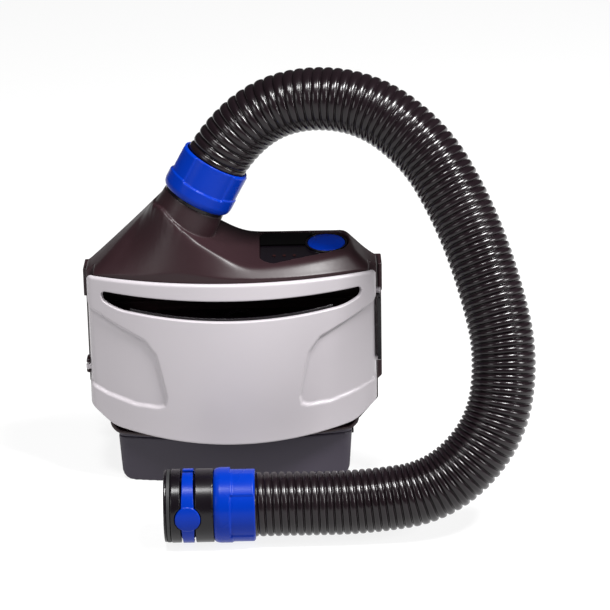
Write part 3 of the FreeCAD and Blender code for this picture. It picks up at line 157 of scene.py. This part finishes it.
def bump(tree, height, distance, strength):
    """A fine relief; distance is its depth in metres."""
    node = tree.nodes.new("ShaderNodeBump")
    node.inputs["Distance"].default_value = distance
    node.inputs["Strength"].default_value = strength
    tree.links.new(height, node.inputs["Height"])
    return node.outputs["Normal"]


def moulded_plastic(name, colour, roughness, grain, depth, strength, spread=0.06, specular=0.5):
    """Injection-moulded plastic: a fine spark-eroded grain over slow flow marks.

    grain is repeats per metre and depth its height in millimetres; spread is how far
    the colour drifts along the flow marks.
    """
    made, tree, shader, place = material(name)
    slow = noise(tree, place, FLOW_MARK_SCALE, detail=3.0)
    fine = noise(tree, place, grain, roughness=0.6)
    dark = tuple(channel * (1.0 - spread) for channel in colour)
    light = tuple(min(channel * (1.0 + spread), 1.0) for channel in colour)
    base = tint(tree, ramp(tree, slow.outputs["Fac"], 0.0, 1.0), dark, light)
    tree.links.new(base, shader.inputs["Base Color"])
    gloss = ramp(tree, slow.outputs["Fac"], roughness - GLOSS_SPREAD, roughness + GLOSS_SPREAD)
    tree.links.new(gloss, shader.inputs["Roughness"])
    normal = bump(tree, fine.outputs["Fac"], depth * MM, strength)
    tree.links.new(normal, shader.inputs["Normal"])
    shader.inputs["Specular IOR Level"].default_value = specular
    return made


def metal(name, colour, roughness):
    """Drawn or stamped metal with fine lines."""
    made, tree, shader, place = material(name)
    stretch = tree.nodes.new("ShaderNodeMapping")
    stretch.inputs["Scale"].default_value = DRAWN_LINE_SCALE
    tree.links.new(place.outputs["Object"], stretch.inputs["Vector"])
    lines = tree.nodes.new("ShaderNodeTexNoise")
    lines.inputs["Scale"].default_value = 1.0
    lines.inputs["Detail"].default_value = 3.0
    tree.links.new(stretch.outputs["Vector"], lines.inputs["Vector"])
    dark = tuple(channel * DRAWN_LINE_SHADE for channel in colour)
    base = tint(tree, ramp(tree, lines.outputs["Fac"], 0.0, 1.0), dark, colour)
    tree.links.new(base, shader.inputs["Base Color"])
    shiny = roughness - DRAWN_LINE_SHINIER
    dull = roughness + DRAWN_LINE_DULLER
    gloss = ramp(tree, lines.outputs["Fac"], shiny, dull)
    tree.links.new(gloss, shader.inputs["Roughness"])
    normal = bump(tree, lines.outputs["Fac"], DRAWN_LINE_DEPTH, 0.3)
    tree.links.new(normal, shader.inputs["Normal"])
    shader.inputs["Metallic"].default_value = 1.0
    return made


def fibre(name, colour, scale):
    """Filter paper or felt: a mat of short fibres."""
    made, tree, shader, place = material(name)
    mat = noise(tree, place, scale, detail=6.0, roughness=0.7)
    dark = tuple(channel * FIBRE_SHADE for channel in colour)
    base = tint(tree, ramp(tree, mat.outputs["Fac"], 0.0, 1.0), dark, colour)
    tree.links.new(base, shader.inputs["Base Color"])
    normal = bump(tree, mat.outputs["Fac"], FIBRE_DEPTH, 0.6)
    tree.links.new(normal, shader.inputs["Normal"])
    shader.inputs["Roughness"].default_value = FIBRE_ROUGHNESS
    return made


# the finishes are named after the material slots of the record
PLASTICS = {
    "dark_housing": dict(
        colour=(0.018, 0.0075, 0.0095), roughness=0.4, grain=1700.0, depth=0.03, strength=0.5,
        specular=0.28),
    "black_plastic": dict(
        colour=(0.0035, 0.0023, 0.0038), roughness=0.26, grain=1500.0, depth=0.02, strength=0.3,
        specular=0.3),
    "seal_rubber": dict(
        colour=(0.012, 0.012, 0.013), roughness=0.6, grain=900.0, depth=0.02, strength=0.3),
    "hose": dict(
        colour=(0.0060, 0.0034, 0.0046), roughness=0.22, grain=1300.0, depth=0.004, strength=0.08,
        spread=0.12, specular=0.34),
    "blue_plastic": dict(
        colour=(0.0, 0.021, 0.26), roughness=0.27, grain=1200.0, depth=0.012, strength=0.25,
        spread=0.05, specular=0.12),
    "cover_plastic": dict(
        colour=(0.385, 0.358, 0.379), roughness=0.36, grain=1900.0, depth=0.02, strength=0.35,
        spread=0.012),
    "white_plastic": dict(
        colour=(0.72, 0.72, 0.70), roughness=0.4, grain=1200.0, depth=0.01, strength=0.2,
        spread=0.03),
    "lens": dict(
        colour=(0.001, 0.0008, 0.001), roughness=0.1, grain=500.0, depth=0.002, strength=0.05,
        spread=0.02, specular=0.25),
    "light_pipe": dict(
        colour=(0.016, 0.004, 0.004), roughness=0.2, grain=500.0, depth=0.004, strength=0.1,
        spread=0.05),
    "board": dict(
        colour=(0.01, 0.09, 0.03), roughness=0.35, grain=900.0, depth=0.01, strength=0.3,
        spread=0.1),
    "battery_plastic": dict(
        colour=(0.034, 0.028, 0.041), roughness=0.45, grain=1500.0, depth=0.03, strength=0.5,
        specular=0.3),
    "cell_wrap": dict(
        colour=(0.04, 0.2, 0.12), roughness=0.25, grain=400.0, depth=0.01, strength=0.1,
        spread=0.05),
}
METALS = {
    "steel": dict(colour=(0.62, 0.62, 0.61), roughness=0.32),
    "copper": dict(colour=(0.70, 0.36, 0.2), roughness=0.35),
    "contacts": dict(colour=(0.78, 0.60, 0.26), roughness=0.25),
}
FIBRES = {
    "filter_paper": dict(colour=(0.80, 0.78, 0.72), scale=1500.0),
    "filter_felt": dict(colour=(0.62, 0.62, 0.61), scale=800.0),
}

finish = {}
for name, look in PLASTICS.items():
    finish[name] = moulded_plastic(name, **look)
for name, look in METALS.items():
    finish[name] = metal(name, **look)
for name, look in FIBRES.items():
    finish[name] = fibre(name, **look)

# ------------------------------------------------------------ mesh helpers


def mesh_piece(name, corners, faces, slot_name, body):
    """A piece from plain lists of corners and faces."""
    mesh = bpy.data.meshes.new(name)
    mesh.from_pydata([tuple(point) for point in corners], [], [tuple(face) for face in faces])
    mesh.update()
    return add_piece(name, mesh, slot_name, body)


def add_piece(name, mesh, slot_name, body):
    """A smooth-shaded object of one material that rides on a body."""
    mesh.shade_smooth()
    mesh.materials.clear()
    mesh.materials.append(finish[slot_name])
    piece = bpy.data.objects.new(name, mesh)
    scene.collection.objects.link(piece)
    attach(piece, body)
    return piece


def solid_piece(name, work, slot_name, body):
    """A piece from a finished bmesh, which is freed."""
    mesh = bpy.data.meshes.new(name)
    work.to_mesh(mesh)
    work.free()
    return add_piece(name, mesh, slot_name, body)


def evaluated(piece):
    """The piece's mesh with its modifiers applied."""
    bpy.context.view_layer.update()
    graph = bpy.context.evaluated_depsgraph_get()
    return bpy.data.meshes.new_from_object(piece.evaluated_get(graph))


slot_of = {}
for part in frame["record"]["subparts"]:
    slot_of[part["node"]] = part["material_slot"]

SMOOTH_FACTOR = 0.5


def moulded_copy(node, voxel, passes):
    """A copy of a CAD node with its edges rounded, as a mould leaves them.

    voxel is the fineness of the copy in millimetres, passes the rounds of smoothing.
    """
    source = nodes[node]
    work = bpy.data.objects.new("work", source.data.copy())
    scene.collection.objects.link(work)
    remesh = work.modifiers.new("rounding", "REMESH")
    remesh.mode = "VOXEL"
    remesh.voxel_size = voxel * MM
    smooth = work.modifiers.new("smoothing", "SMOOTH")
    smooth.iterations = passes
    smooth.factor = SMOOTH_FACTOR
    mesh = evaluated(work)
    bpy.data.objects.remove(work)
    piece = add_piece(node + "_moulded", mesh, slot_of[node], source["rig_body"])
    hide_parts(node)


# ---------------------------------------------------------- breathing tube

# corner points of the tube's centreline, in metres, from the port to the connector
HOSE_ROUTE = [
    (-0.0131, -0.0040, 0.2197),
    (0.0014, -0.0040, 0.2459),
    (0.0396, -0.0084, 0.2726),
    (0.0922, -0.0200, 0.2734),
    (0.1332, -0.0368, 0.2460),
    (0.1577, -0.0569, 0.2054),
    (0.1740, -0.0779, 0.1622),
    (0.1847, -0.0981, 0.1162),
    (0.1764, -0.1148, 0.0678),
    (0.1393, -0.1262, 0.0318),
    (0.0881, -0.1286, 0.0252),
    (0.0375, -0.1290, 0.0255),
    (0.0100, -0.1290, 0.0255),
]
# radius of the tube at the rib crests, in metres
HOSE_RADIUS = 21.5 * MM
RIB_PITCH_START = 6.0 * MM
RIB_PITCH_TIGHTEST = 4.35 * MM
RIB_PITCH_END = 5.1 * MM
TIGHTEST_AT = 0.6
RIB_HEIGHT = 1.75 * MM
# the share of the pitch that the rib takes; the rest is the groove
RIB_SHARE = 0.86
CREST_FULLNESS = 0.7
RINGS_PER_RIB = 12
TUBE_SIDES = 96
SPLINE_STEPS = 64


def hose_line():
    """Points of the tube's centreline, read from one smooth spline."""
    curve = bpy.data.curves.new("hose_route", "CURVE")
    curve.dimensions = "3D"
    spline = curve.splines.new("NURBS")
    spline.points.add(len(HOSE_ROUTE) - 1)
    for point, place in zip(spline.points, HOSE_ROUTE):
        point.co = (*place, 1.0)
    spline.order_u = 3
    spline.use_endpoint_u = True
    curve.resolution_u = SPLINE_STEPS
    guide = bpy.data.objects.new("hose_route", curve)
    scene.collection.objects.link(guide)
    mesh = evaluated(guide)
    points = np.array([tuple(vertex.co) for vertex in mesh.vertices])
    bpy.data.objects.remove(guide)
    bpy.data.meshes.remove(mesh)
    return points


def rib_pitch(share):
    """Rib spacing at a share of the length; the ribs close up as the tube hangs down."""
    before = np.clip((TIGHTEST_AT - share) / TIGHTEST_AT, 0.0, 1.0)
    after = np.clip((share - TIGHTEST_AT) / (1.0 - TIGHTEST_AT), 0.0, 1.0)
    opened = (RIB_PITCH_START - RIB_PITCH_TIGHTEST) * (1.0 - np.cos(math.pi * before)) / 2.0
    closed = (RIB_PITCH_END - RIB_PITCH_TIGHTEST) * (1.0 - np.cos(math.pi * after)) / 2.0
    return RIB_PITCH_TIGHTEST + opened + closed


def rib_steps(points):
    """The same line with an equal number of points to every rib."""
    runs = np.linalg.norm(np.diff(points, axis=0), axis=1)
    along = np.concatenate([[0.0], np.cumsum(runs)])
    middles = (along[1:] + along[:-1]) / 2.0
    ribs = np.concatenate([[0.0], np.cumsum(runs / rib_pitch(middles / along[-1]))])
    count = int(round(ribs[-1] * RINGS_PER_RIB))
    wanted = np.interp(np.linspace(0.0, ribs[-1], count + 1), ribs, along)
    return np.stack([np.interp(wanted, along, points[:, axis]) for axis in range(3)], axis=1)


def carried_frames(points):
    """Directions across the line, carried along it without twisting."""
    ahead = np.gradient(points, axis=0)
    ahead /= np.linalg.norm(ahead, axis=1)[:, None]
    side = np.array([0.0, 1.0, 0.0])
    sides = []
    for direction in ahead:
        side = side - direction * (side @ direction)
        side /= np.linalg.norm(side)
        sides.append(side)
    sides = np.array(sides)
    return sides, np.cross(ahead, sides)


def rib_profile(turn):
    """Depth below the rib crests, for a position counted in ribs."""
    inside = np.abs((turn % 1.0) * 2.0 - 1.0) / RIB_SHARE
    crest = np.sqrt(np.clip(1.0 - inside ** 2, 0.0, 1.0))
    return RIB_HEIGHT * (1.0 - crest ** CREST_FULLNESS)


def corrugated_tube(points):
    """The ribs run round the tube as one helix."""
    line = rib_steps(points)
    sides, ups = carried_frames(line)
    turns = np.arange(len(line)) / RINGS_PER_RIB
    angles = np.arange(TUBE_SIDES) * 2.0 * math.pi / TUBE_SIDES
    phase = turns[:, None] - angles[None, :] / (2.0 * math.pi)
    radius = HOSE_RADIUS - rib_profile(phase)
    across = np.cos(angles)[None, :, None] * sides[:, None, :]
    across = across + np.sin(angles)[None, :, None] * ups[:, None, :]
    corners = line[:, None, :] + across * radius[:, :, None]
    faces = []
    for ring in range(len(line) - 1):
        for number in range(TUBE_SIDES):
            after = (number + 1) % TUBE_SIDES
            first = ring * TUBE_SIDES
            second = first + TUBE_SIDES
            faces.append((first + number, first + after, second + after, second + number))
    return corners.reshape(-1, 3), faces


route = hose_line()
tube_corners, tube_faces = corrugated_tube(route)
hose = mesh_piece("breathing_tube", tube_corners, tube_faces, "hose", "unit")
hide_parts("hose_tube")

# ------------------------------------------------------------ filter cover

# the cover is laid out in millimetres; its front is part of an upright cylinder
COVER_RADIUS = 206.0
COVER_FRONT = -45.0
COVER_CENTRE = COVER_FRONT + COVER_RADIUS
COVER_HALF = 100.0
COVER_TOP = 151.5
COVER_WALL = 3.0
COVER_BACK = -4.0
COVER_CORNER = 7.0
SIDE_SLANT_START = -18.0
SIDE_SLANT = 0.4
SLOT_TIP = 90.0
SLOT_TIP_HEIGHT = 139.0
SLOT_FLARE = 82.0
BOTTOM_MIDDLE = 34.4
BOTTOM_RISE = 9.6
BOTTOM_TURN = 85.0
BOTTOM_SLANT = 0.829
BOTTOM_BLEND = 3.0
COLUMNS_TO_FLARE = 96
COLUMNS_TO_TIP = 22
COLUMNS_TO_CORNER = 9
COLUMNS_ROUND_CORNER = 13
COLUMNS_ALONG_SIDE = 12
ROWS_BELOW_SLOT = 120
ROWS_ABOVE_SLOT = 26
TOP_ROUNDING = 2.0
BOTTOM_ROUNDING = 1.2
SLOT_ROUNDING = 0.9
SHARP_ABOVE = 50.0
FAR = 1e9
TINY = 1e-6
GRIP_DEPTH = 1.8
GRIP_SOFTNESS = 0.9
GRIP_CORNER_SHIFT = 4.0
GRIP_FADE_PAST_SIDE = 9.0
GRIP_FADE_RUN = 10.0
# the right-hand grip in front view: width from the middle, height
GRIP_OUTLINE = [
    (112.0, 136.0),
    (78.0, 118.0),
    (61.0, 109.5),
    (53.0, 99.0),
    (49.5, 84.0),
    (46.3, 68.0),
    (47.5, 62.3),
    (52.0, 60.8),
    (68.0, 61.6),
    (88.0, 67.2),
    (112.0, 78.0),
]


def arc_points(first, middle, last, count=24):
    """Points on the circle through three points of a plane."""
    (ax, ay), (bx, by), (cx, cy) = first, middle, last
    twice = 2.0 * (ax * (by - cy) + bx * (cy - ay) + cx * (ay - by))
    a2, b2, c2 = ax * ax + ay * ay, bx * bx + by * by, cx * cx + cy * cy
    ox = (a2 * (by - cy) + b2 * (cy - ay) + c2 * (ay - by)) / twice
    oy = (a2 * (cx - bx) + b2 * (ax - cx) + c2 * (bx - ax)) / twice
    radius = math.hypot(ax - ox, ay - oy)
    start = math.atan2(ay - oy, ax - ox)
    end = math.atan2(cy - oy, cx - ox)
    through = math.atan2(by - oy, bx - ox)
    turn = (end - start) % (2.0 * math.pi)
    if (through - start) % (2.0 * math.pi) > turn:
        turn -= 2.0 * math.pi
    angles = start + np.linspace(0.0, 1.0, count) * turn
    return np.stack([ox + radius * np.cos(angles), oy + radius * np.sin(angles)], axis=1)


def slot_edges():
    """The right half of the slot's lower and upper edge, as widths and heights."""
    lower = np.concatenate([
        arc_points((-70.0, 128.9), (0.0, 124.5), (70.0, 128.9), 60)[30:],
        arc_points((70.0, 128.9), (82.0, 131.6), (88.5, 135.0))[1:],
        arc_points((88.5, 135.0), (89.7, 137.2), (SLOT_TIP, SLOT_TIP_HEIGHT))[1:],
    ])
    upper = np.concatenate([
        arc_points((-87.0, 142.0), (0.0, 139.5), (87.0, 142.0), 60)[30:],
        arc_points((87.0, 142.0), (89.2, 141.2), (SLOT_TIP, SLOT_TIP_HEIGHT))[1:],
    ])
    return lower, upper


def cover_columns():
    """Plan of the cover's outer face, left to right: places and outward normals."""
    reach = COVER_RADIUS - COVER_CORNER
    inner_x = COVER_HALF - COVER_CORNER
    inner_y = COVER_CENTRE - math.sqrt(reach ** 2 - inner_x ** 2)
    limit = math.asin(inner_x / reach)
    flare = math.asin(SLOT_FLARE / COVER_RADIUS)
    tip = math.asin(SLOT_TIP / COVER_RADIUS)
    angles = np.concatenate([
        np.linspace(0.0, flare, COLUMNS_TO_FLARE)[:-1],
        np.linspace(flare, tip, COLUMNS_TO_TIP)[:-1],
        np.linspace(tip, limit, COLUMNS_TO_CORNER)[:-1],
    ])
    rows = []
    for angle in angles:
        normal = (math.sin(angle), -math.cos(angle))
        rows.append((COVER_RADIUS * normal[0], COVER_CENTRE + COVER_RADIUS * normal[1], *normal))
    for angle in np.linspace(limit, math.pi / 2.0, COLUMNS_ROUND_CORNER)[:-1]:
        normal = (math.sin(angle), -math.cos(angle))
        rows.append((inner_x + COVER_CORNER * normal[0], inner_y + COVER_CORNER * normal[1], *normal))
    for y in np.linspace(inner_y, COVER_BACK, COLUMNS_ALONG_SIDE):
        rows.append((COVER_HALF, y, 1.0, 0.0))
    half = np.array(rows)
    mirrored = half[:0:-1] * np.array([-1.0, 1.0, -1.0, 1.0])
    return np.concatenate([mirrored, half])


def cover_bottom_height(x):
    """Lower edge of the cover: a shallow arc, then a slant up to the side."""
    arc = BOTTOM_MIDDLE + BOTTOM_RISE * (x / BOTTOM_TURN) ** 2
    slant = BOTTOM_MIDDLE + BOTTOM_RISE + (np.abs(x) - BOTTOM_TURN) * BOTTOM_SLANT
    blend = np.clip(1.0 - np.abs(arc - slant) / BOTTOM_BLEND, 0.0, 1.0)
    return np.maximum(arc, slant) + blend ** 2 * BOTTOM_BLEND / 4.0


def outline_depth(x, z, outline):
    """Signed distance inside a closed outline, for arrays of points."""
    corners = np.array(outline)
    nearest = np.full(x.shape, FAR)
    inside = np.zeros(x.shape, bool)
    for (x1, z1), (x2, z2) in zip(corners, np.roll(corners, -1, axis=0)):
        run_x, run_z = x2 - x1, z2 - z1
        share = ((x - x1) * run_x + (z - z1) * run_z) / (run_x ** 2 + run_z ** 2)
        share = np.clip(share, 0.0, 1.0)
        nearest = np.minimum(nearest, np.hypot(x - x1 - share * run_x, z - z1 - share * run_z))
        crosses = (z1 > z) != (z2 > z)
        rise = np.where(crosses, run_z, 1.0)
        inside ^= crosses & (x < x1 + (z - z1) * run_x / rise)
    return np.where(inside, nearest, -nearest)


def rounded_edge(distance, radius):
    """How far a rounded edge falls back at a distance from its rim."""
    short = np.clip(radius - distance, 0.0, radius)
    return radius - np.sqrt(radius ** 2 - short ** 2)


def build_cover():
    """A sheet of columns below and above the air slot, doubled to a 3 mm wall."""
    columns = cover_columns()
    lower, upper = slot_edges()
    x = columns[:, 0]
    slot_low = np.interp(np.abs(x), lower[:, 0], lower[:, 1])
    slot_high = np.interp(np.abs(x), upper[:, 0], upper[:, 1])
    beyond = np.abs(x) >= SLOT_TIP - TINY
    slot_low[beyond] = SLOT_TIP_HEIGHT
    slot_high[beyond] = SLOT_TIP_HEIGHT
    bottom = cover_bottom_height(x)
    top = COVER_TOP - SIDE_SLANT * np.clip(columns[:, 1] - SIDE_SLANT_START, 0.0, None)
    low_share = 0.5 - 0.5 * np.cos(np.linspace(0.0, math.pi, ROWS_BELOW_SLOT + 1))
    high_share = 0.5 - 0.5 * np.cos(np.linspace(0.0, math.pi, ROWS_ABOVE_SLOT + 1))
    low_band = bottom[:, None] + (slot_low - bottom)[:, None] * low_share[None, :]
    high_band = slot_high[:, None] + (top - slot_high)[:, None] * high_share[None, :]
    heights = np.concatenate([low_band, high_band], axis=1)
    width = heights.shape[1]
    grid_x = np.repeat(x[:, None], width, axis=1)
    reach = np.repeat(np.abs(x)[:, None], width, axis=1)
    # past the corner the distance along the plan stands in for the width
    runs = np.hypot(np.diff(columns[:, 0]), np.diff(columns[:, 1]))
    along = np.concatenate([[0.0], np.cumsum(runs)])
    along = np.abs(along - along[-1] / 2.0)
    plan = np.maximum(reach, np.repeat(along[:, None], width, axis=1) - GRIP_CORNER_SHIFT)
    grip = outline_depth(plan, heights, GRIP_OUTLINE)
    share = np.clip((grip + GRIP_SOFTNESS) / (2.0 * GRIP_SOFTNESS), 0.0, 1.0)
    fade = np.clip((COVER_HALF + GRIP_FADE_PAST_SIDE - plan) / GRIP_FADE_RUN, 0.0, 1.0)
    inset = GRIP_DEPTH * share ** 2 * (3.0 - 2.0 * share) * fade
    inset += rounded_edge(top[:, None] - heights, TOP_ROUNDING)
    inset += rounded_edge(heights - bottom[:, None], BOTTOM_ROUNDING)
    slot_rim = np.full(heights.shape, FAR)
    slot_rim[:, : ROWS_BELOW_SLOT + 1] = slot_low[:, None] - heights[:, : ROWS_BELOW_SLOT + 1]
    slot_rim[:, ROWS_BELOW_SLOT + 1 :] = heights[:, ROWS_BELOW_SLOT + 1 :] - slot_high[:, None]
    tip_distance = np.hypot(reach - SLOT_TIP, heights - SLOT_TIP_HEIGHT)
    slot_rim = np.where(beyond[:, None], tip_distance, slot_rim)
    inset += rounded_edge(slot_rim, SLOT_ROUNDING)
    grid_y = np.repeat(columns[:, 1][:, None], width, axis=1)
    normal_x = columns[:, 2][:, None]
    normal_y = columns[:, 3][:, None]
    outer = np.stack([grid_x - normal_x * inset, grid_y - normal_y * inset, heights], axis=2)
    inner_x = grid_x - normal_x * COVER_WALL
    inner_y = grid_y - normal_y * COVER_WALL
    inner = np.stack([inner_x, inner_y, heights], axis=2)
    index = np.arange(heights.size).reshape(heights.shape)
    index[beyond, ROWS_BELOW_SLOT + 1] = index[beyond, ROWS_BELOW_SLOT]
    front = []
    for column in range(len(columns) - 1):
        for row in range(width - 1):
            if row == ROWS_BELOW_SLOT:
                continue
            front.append((index[column, row], index[column + 1, row],
                          index[column + 1, row + 1], index[column, row + 1]))
    count = heights.size
    faces = list(front)
    for face in front:
        faces.append(tuple(corner + count for corner in reversed(face)))
    open_edges = {}
    for face in front:
        for first, second in zip(face, face[1:] + face[:1]):
            if (second, first) in open_edges:
                del open_edges[(second, first)]
            else:
                open_edges[(first, second)] = True
    for first, second in open_edges:
        faces.append((second, first, first + count, second + count))
    corners = np.concatenate([outer.reshape(-1, 3), inner.reshape(-1, 3)]) * MM
    piece = mesh_piece("cover_shell", corners, faces, "cover_plastic", "cover")
    tidy_mesh(piece.data)
    mark_sharp(piece.data, SHARP_ABOVE)
    return piece


JOIN_WITHIN = 0.002 * MM


def tidy_mesh(mesh):
    """Joins doubled corners and drops loose ones."""
    work = bmesh.new()
    work.from_mesh(mesh)
    bmesh.ops.remove_doubles(work, verts=work.verts, dist=JOIN_WITHIN)
    loose = [vertex for vertex in work.verts if not vertex.link_faces]
    bmesh.ops.delete(work, geom=loose, context="VERTS")
    bmesh.ops.recalc_face_normals(work, faces=work.faces)
    work.to_mesh(mesh)
    work.free()


def mark_sharp(mesh, degrees):
    """Edges that turn by more than the angle stay sharp in the shading."""
    mesh.set_sharp_from_angle(angle=math.radians(degrees))


BEVEL_STEPS = 3
BARREL_SIDES = 32
BARREL_ROUNDING = 0.4


def rounded_block(name, low, high, rounding, slot_name, body):
    """A moulded block between two corners, in millimetres, with rounded edges."""
    work = bmesh.new()
    bmesh.ops.create_cube(work, size=1.0)
    size = Vector(high) - Vector(low)
    middle = (Vector(high) + Vector(low)) / 2.0
    for vertex in work.verts:
        vertex.co = Vector(a * b for a, b in zip(vertex.co, size)) * MM + middle * MM
    bmesh.ops.bevel(work, geom=work.edges[:], offset=rounding * MM, segments=BEVEL_STEPS,
                    profile=0.5, affect="EDGES")
    return solid_piece(name, work, slot_name, body)


def make_barrel(name, x, y, low, high, radius, slot_name, body):
    """An upright hinge barrel with softened ends, in millimetres."""
    work = bmesh.new()
    bmesh.ops.create_cone(work, cap_ends=True, segments=BARREL_SIDES, radius1=radius * MM,
                          radius2=radius * MM, depth=(high - low) * MM)
    rims = [edge for edge in work.edges if abs(edge.verts[0].co.z - edge.verts[1].co.z) < TINY]
    bmesh.ops.bevel(work, geom=rims, offset=BARREL_ROUNDING * MM, segments=BEVEL_STEPS,
                    profile=0.5, affect="EDGES")
    for vertex in work.verts:
        vertex.co += Vector((x, y, (low + high) / 2.0)) * MM
    return solid_piece(name, work, slot_name, body)


cover = build_cover()
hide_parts("filter_cover")

# the knuckle that turns on the hinge pin
KNUCKLE_LOW = 80.0
KNUCKLE_HIGH = 83.5
make_barrel("cover_knuckle", x=-101.9, y=-8.5, low=KNUCKLE_LOW, high=KNUCKLE_HIGH, radius=1.5,
            slot_name="cover_plastic", body="cover")
rounded_block("cover_knuckle_web", low=(-101.8, -10.0, KNUCKLE_LOW), high=(-99.0, -7.5, KNUCKLE_HIGH),
              rounding=0.3, slot_name="cover_plastic", body="cover")

# the two ears that carry the latch pin: bottom and top of each
EARS = {
    "cover_ear_low": (81.7, 84.9),
    "cover_ear_high": (131.4, 134.6),
}
for name, (ear_low, ear_high) in EARS.items():
    rounded_block(name, low=(99.0, -7.7, ear_low), high=(103.4, -4.0, ear_high),
                  rounding=0.4, slot_name="cover_plastic", body="cover")

# --------------------------------------------- moulded copies of CAD nodes

# node: fineness in millimetres, rounds of smoothing
MOULDED = {
    "upper_housing": (0.6, 5),
    "hose_collar_upper": (0.5, 2),
    "hose_collar_lower": (0.5, 2),
    "end_connector": (0.5, 2),
    "release_pad_front": (0.35, 2),
    "release_pad_rear": (0.35, 2),
    "power_button": (0.35, 2),
    "pocket_panel": (0.3, 2),
    "filter_bulkhead": (0.7, 2),
    "slot_trim": (0.3, 1),
    "battery_case": (0.8, 3),
    "battery_lid": (0.8, 2),
    "battery_latch": (0.35, 1),
    "cover_latch": (0.4, 1),
    "belt_plate": (0.9, 2),
    "rear_housing": (0.9, 2),
}
for name, (voxel, passes) in MOULDED.items():
    moulded_copy(name, voxel, passes)

# -------------------------------------------------- finishes of CAD pieces

CAD_SHARP_ABOVE = 35.0

for name, node in nodes.items():
    node.data.materials.clear()
    node.data.materials.append(finish[slot_of[name]])
    node.data.shade_smooth()
    mark_sharp(node.data, CAD_SHARP_ABOVE)

# ------------------------------------------------------------------- stage

FLOOR_REACH = 9.0
FLOOR_DARK = (0.16, 0.16, 0.16)
FLOOR_LIGHT = (0.17, 0.17, 0.17)
FLOOR_GRAIN = 300.0
FLOOR_ROUGHNESS = 0.9
FLOOR_GLOW = 0.86
WORLD_STRENGTH = 0.06


def make_floor():
    """Pale paper that glows a little, so it stays even and almost white."""
    made, tree, shader, place = material("floor_paper")
    grain = noise(tree, place, FLOOR_GRAIN, detail=3.0)
    base = tint(tree, grain.outputs["Fac"], FLOOR_DARK, FLOOR_LIGHT)
    tree.links.new(base, shader.inputs["Base Color"])
    shader.inputs["Roughness"].default_value = FLOOR_ROUGHNESS
    shader.inputs["Emission Color"].default_value = WHITE
    shader.inputs["Emission Strength"].default_value = FLOOR_GLOW
    mesh = bpy.data.meshes.new("floor")
    corners = []
    for across, along in ((-1, -1), (1, -1), (1, 1), (-1, 1)):
        corners.append((across * FLOOR_REACH, along * FLOOR_REACH, 0))
    mesh.from_pydata(corners, [], [(0, 1, 2, 3)])
    mesh.materials.append(made)
    floor = bpy.data.objects.new("floor", mesh)
    scene.collection.objects.link(floor)


def make_light(name, azimuth, elevation, distance, width, height, power):
    """A soft box aimed at the unit; azimuth 0 is the camera's side."""
    data = bpy.data.lights.new(name, "AREA")
    data.shape = "RECTANGLE"
    data.size = width
    data.size_y = height
    data.energy = power
    lamp = bpy.data.objects.new(name, data)
    scene.collection.objects.link(lamp)
    turn, rise = math.radians(azimuth), math.radians(elevation)
    away = Vector((math.sin(turn) * math.cos(rise), -math.cos(turn) * math.cos(rise), math.sin(rise)))
    lamp.location = VIEW_TARGET + away * distance
    lamp.rotation_mode = "QUATERNION"
    lamp.rotation_quaternion = (-away).to_track_quat("-Z", "Y")


make_floor()

# azimuth and elevation in degrees; distance, width and height in metres; power in watts
LIGHTS = {
    "soft_box_left": (-22.0, 64.0, 1.6, 0.3, 0.3, 15.0),
    "soft_box_right": (50.0, 58.0, 1.5, 0.34, 0.34, 44.0),
    "soft_box_low": (-48.0, 22.0, 1.6, 0.5, 0.5, 4.0),
    "soft_box_side": (66.0, 20.0, 1.6, 0.3, 0.5, 13.0),
}
for name, setting in LIGHTS.items():
    make_light(name, *setting)

world = bpy.data.worlds.new("studio")
world.use_nodes = True
background = world.node_tree.nodes["Background"]
background.inputs["Color"].default_value = WHITE
background.inputs["Strength"].default_value = WORLD_STRENGTH
scene.world = world
scene.view_settings.view_transform = "Standard"
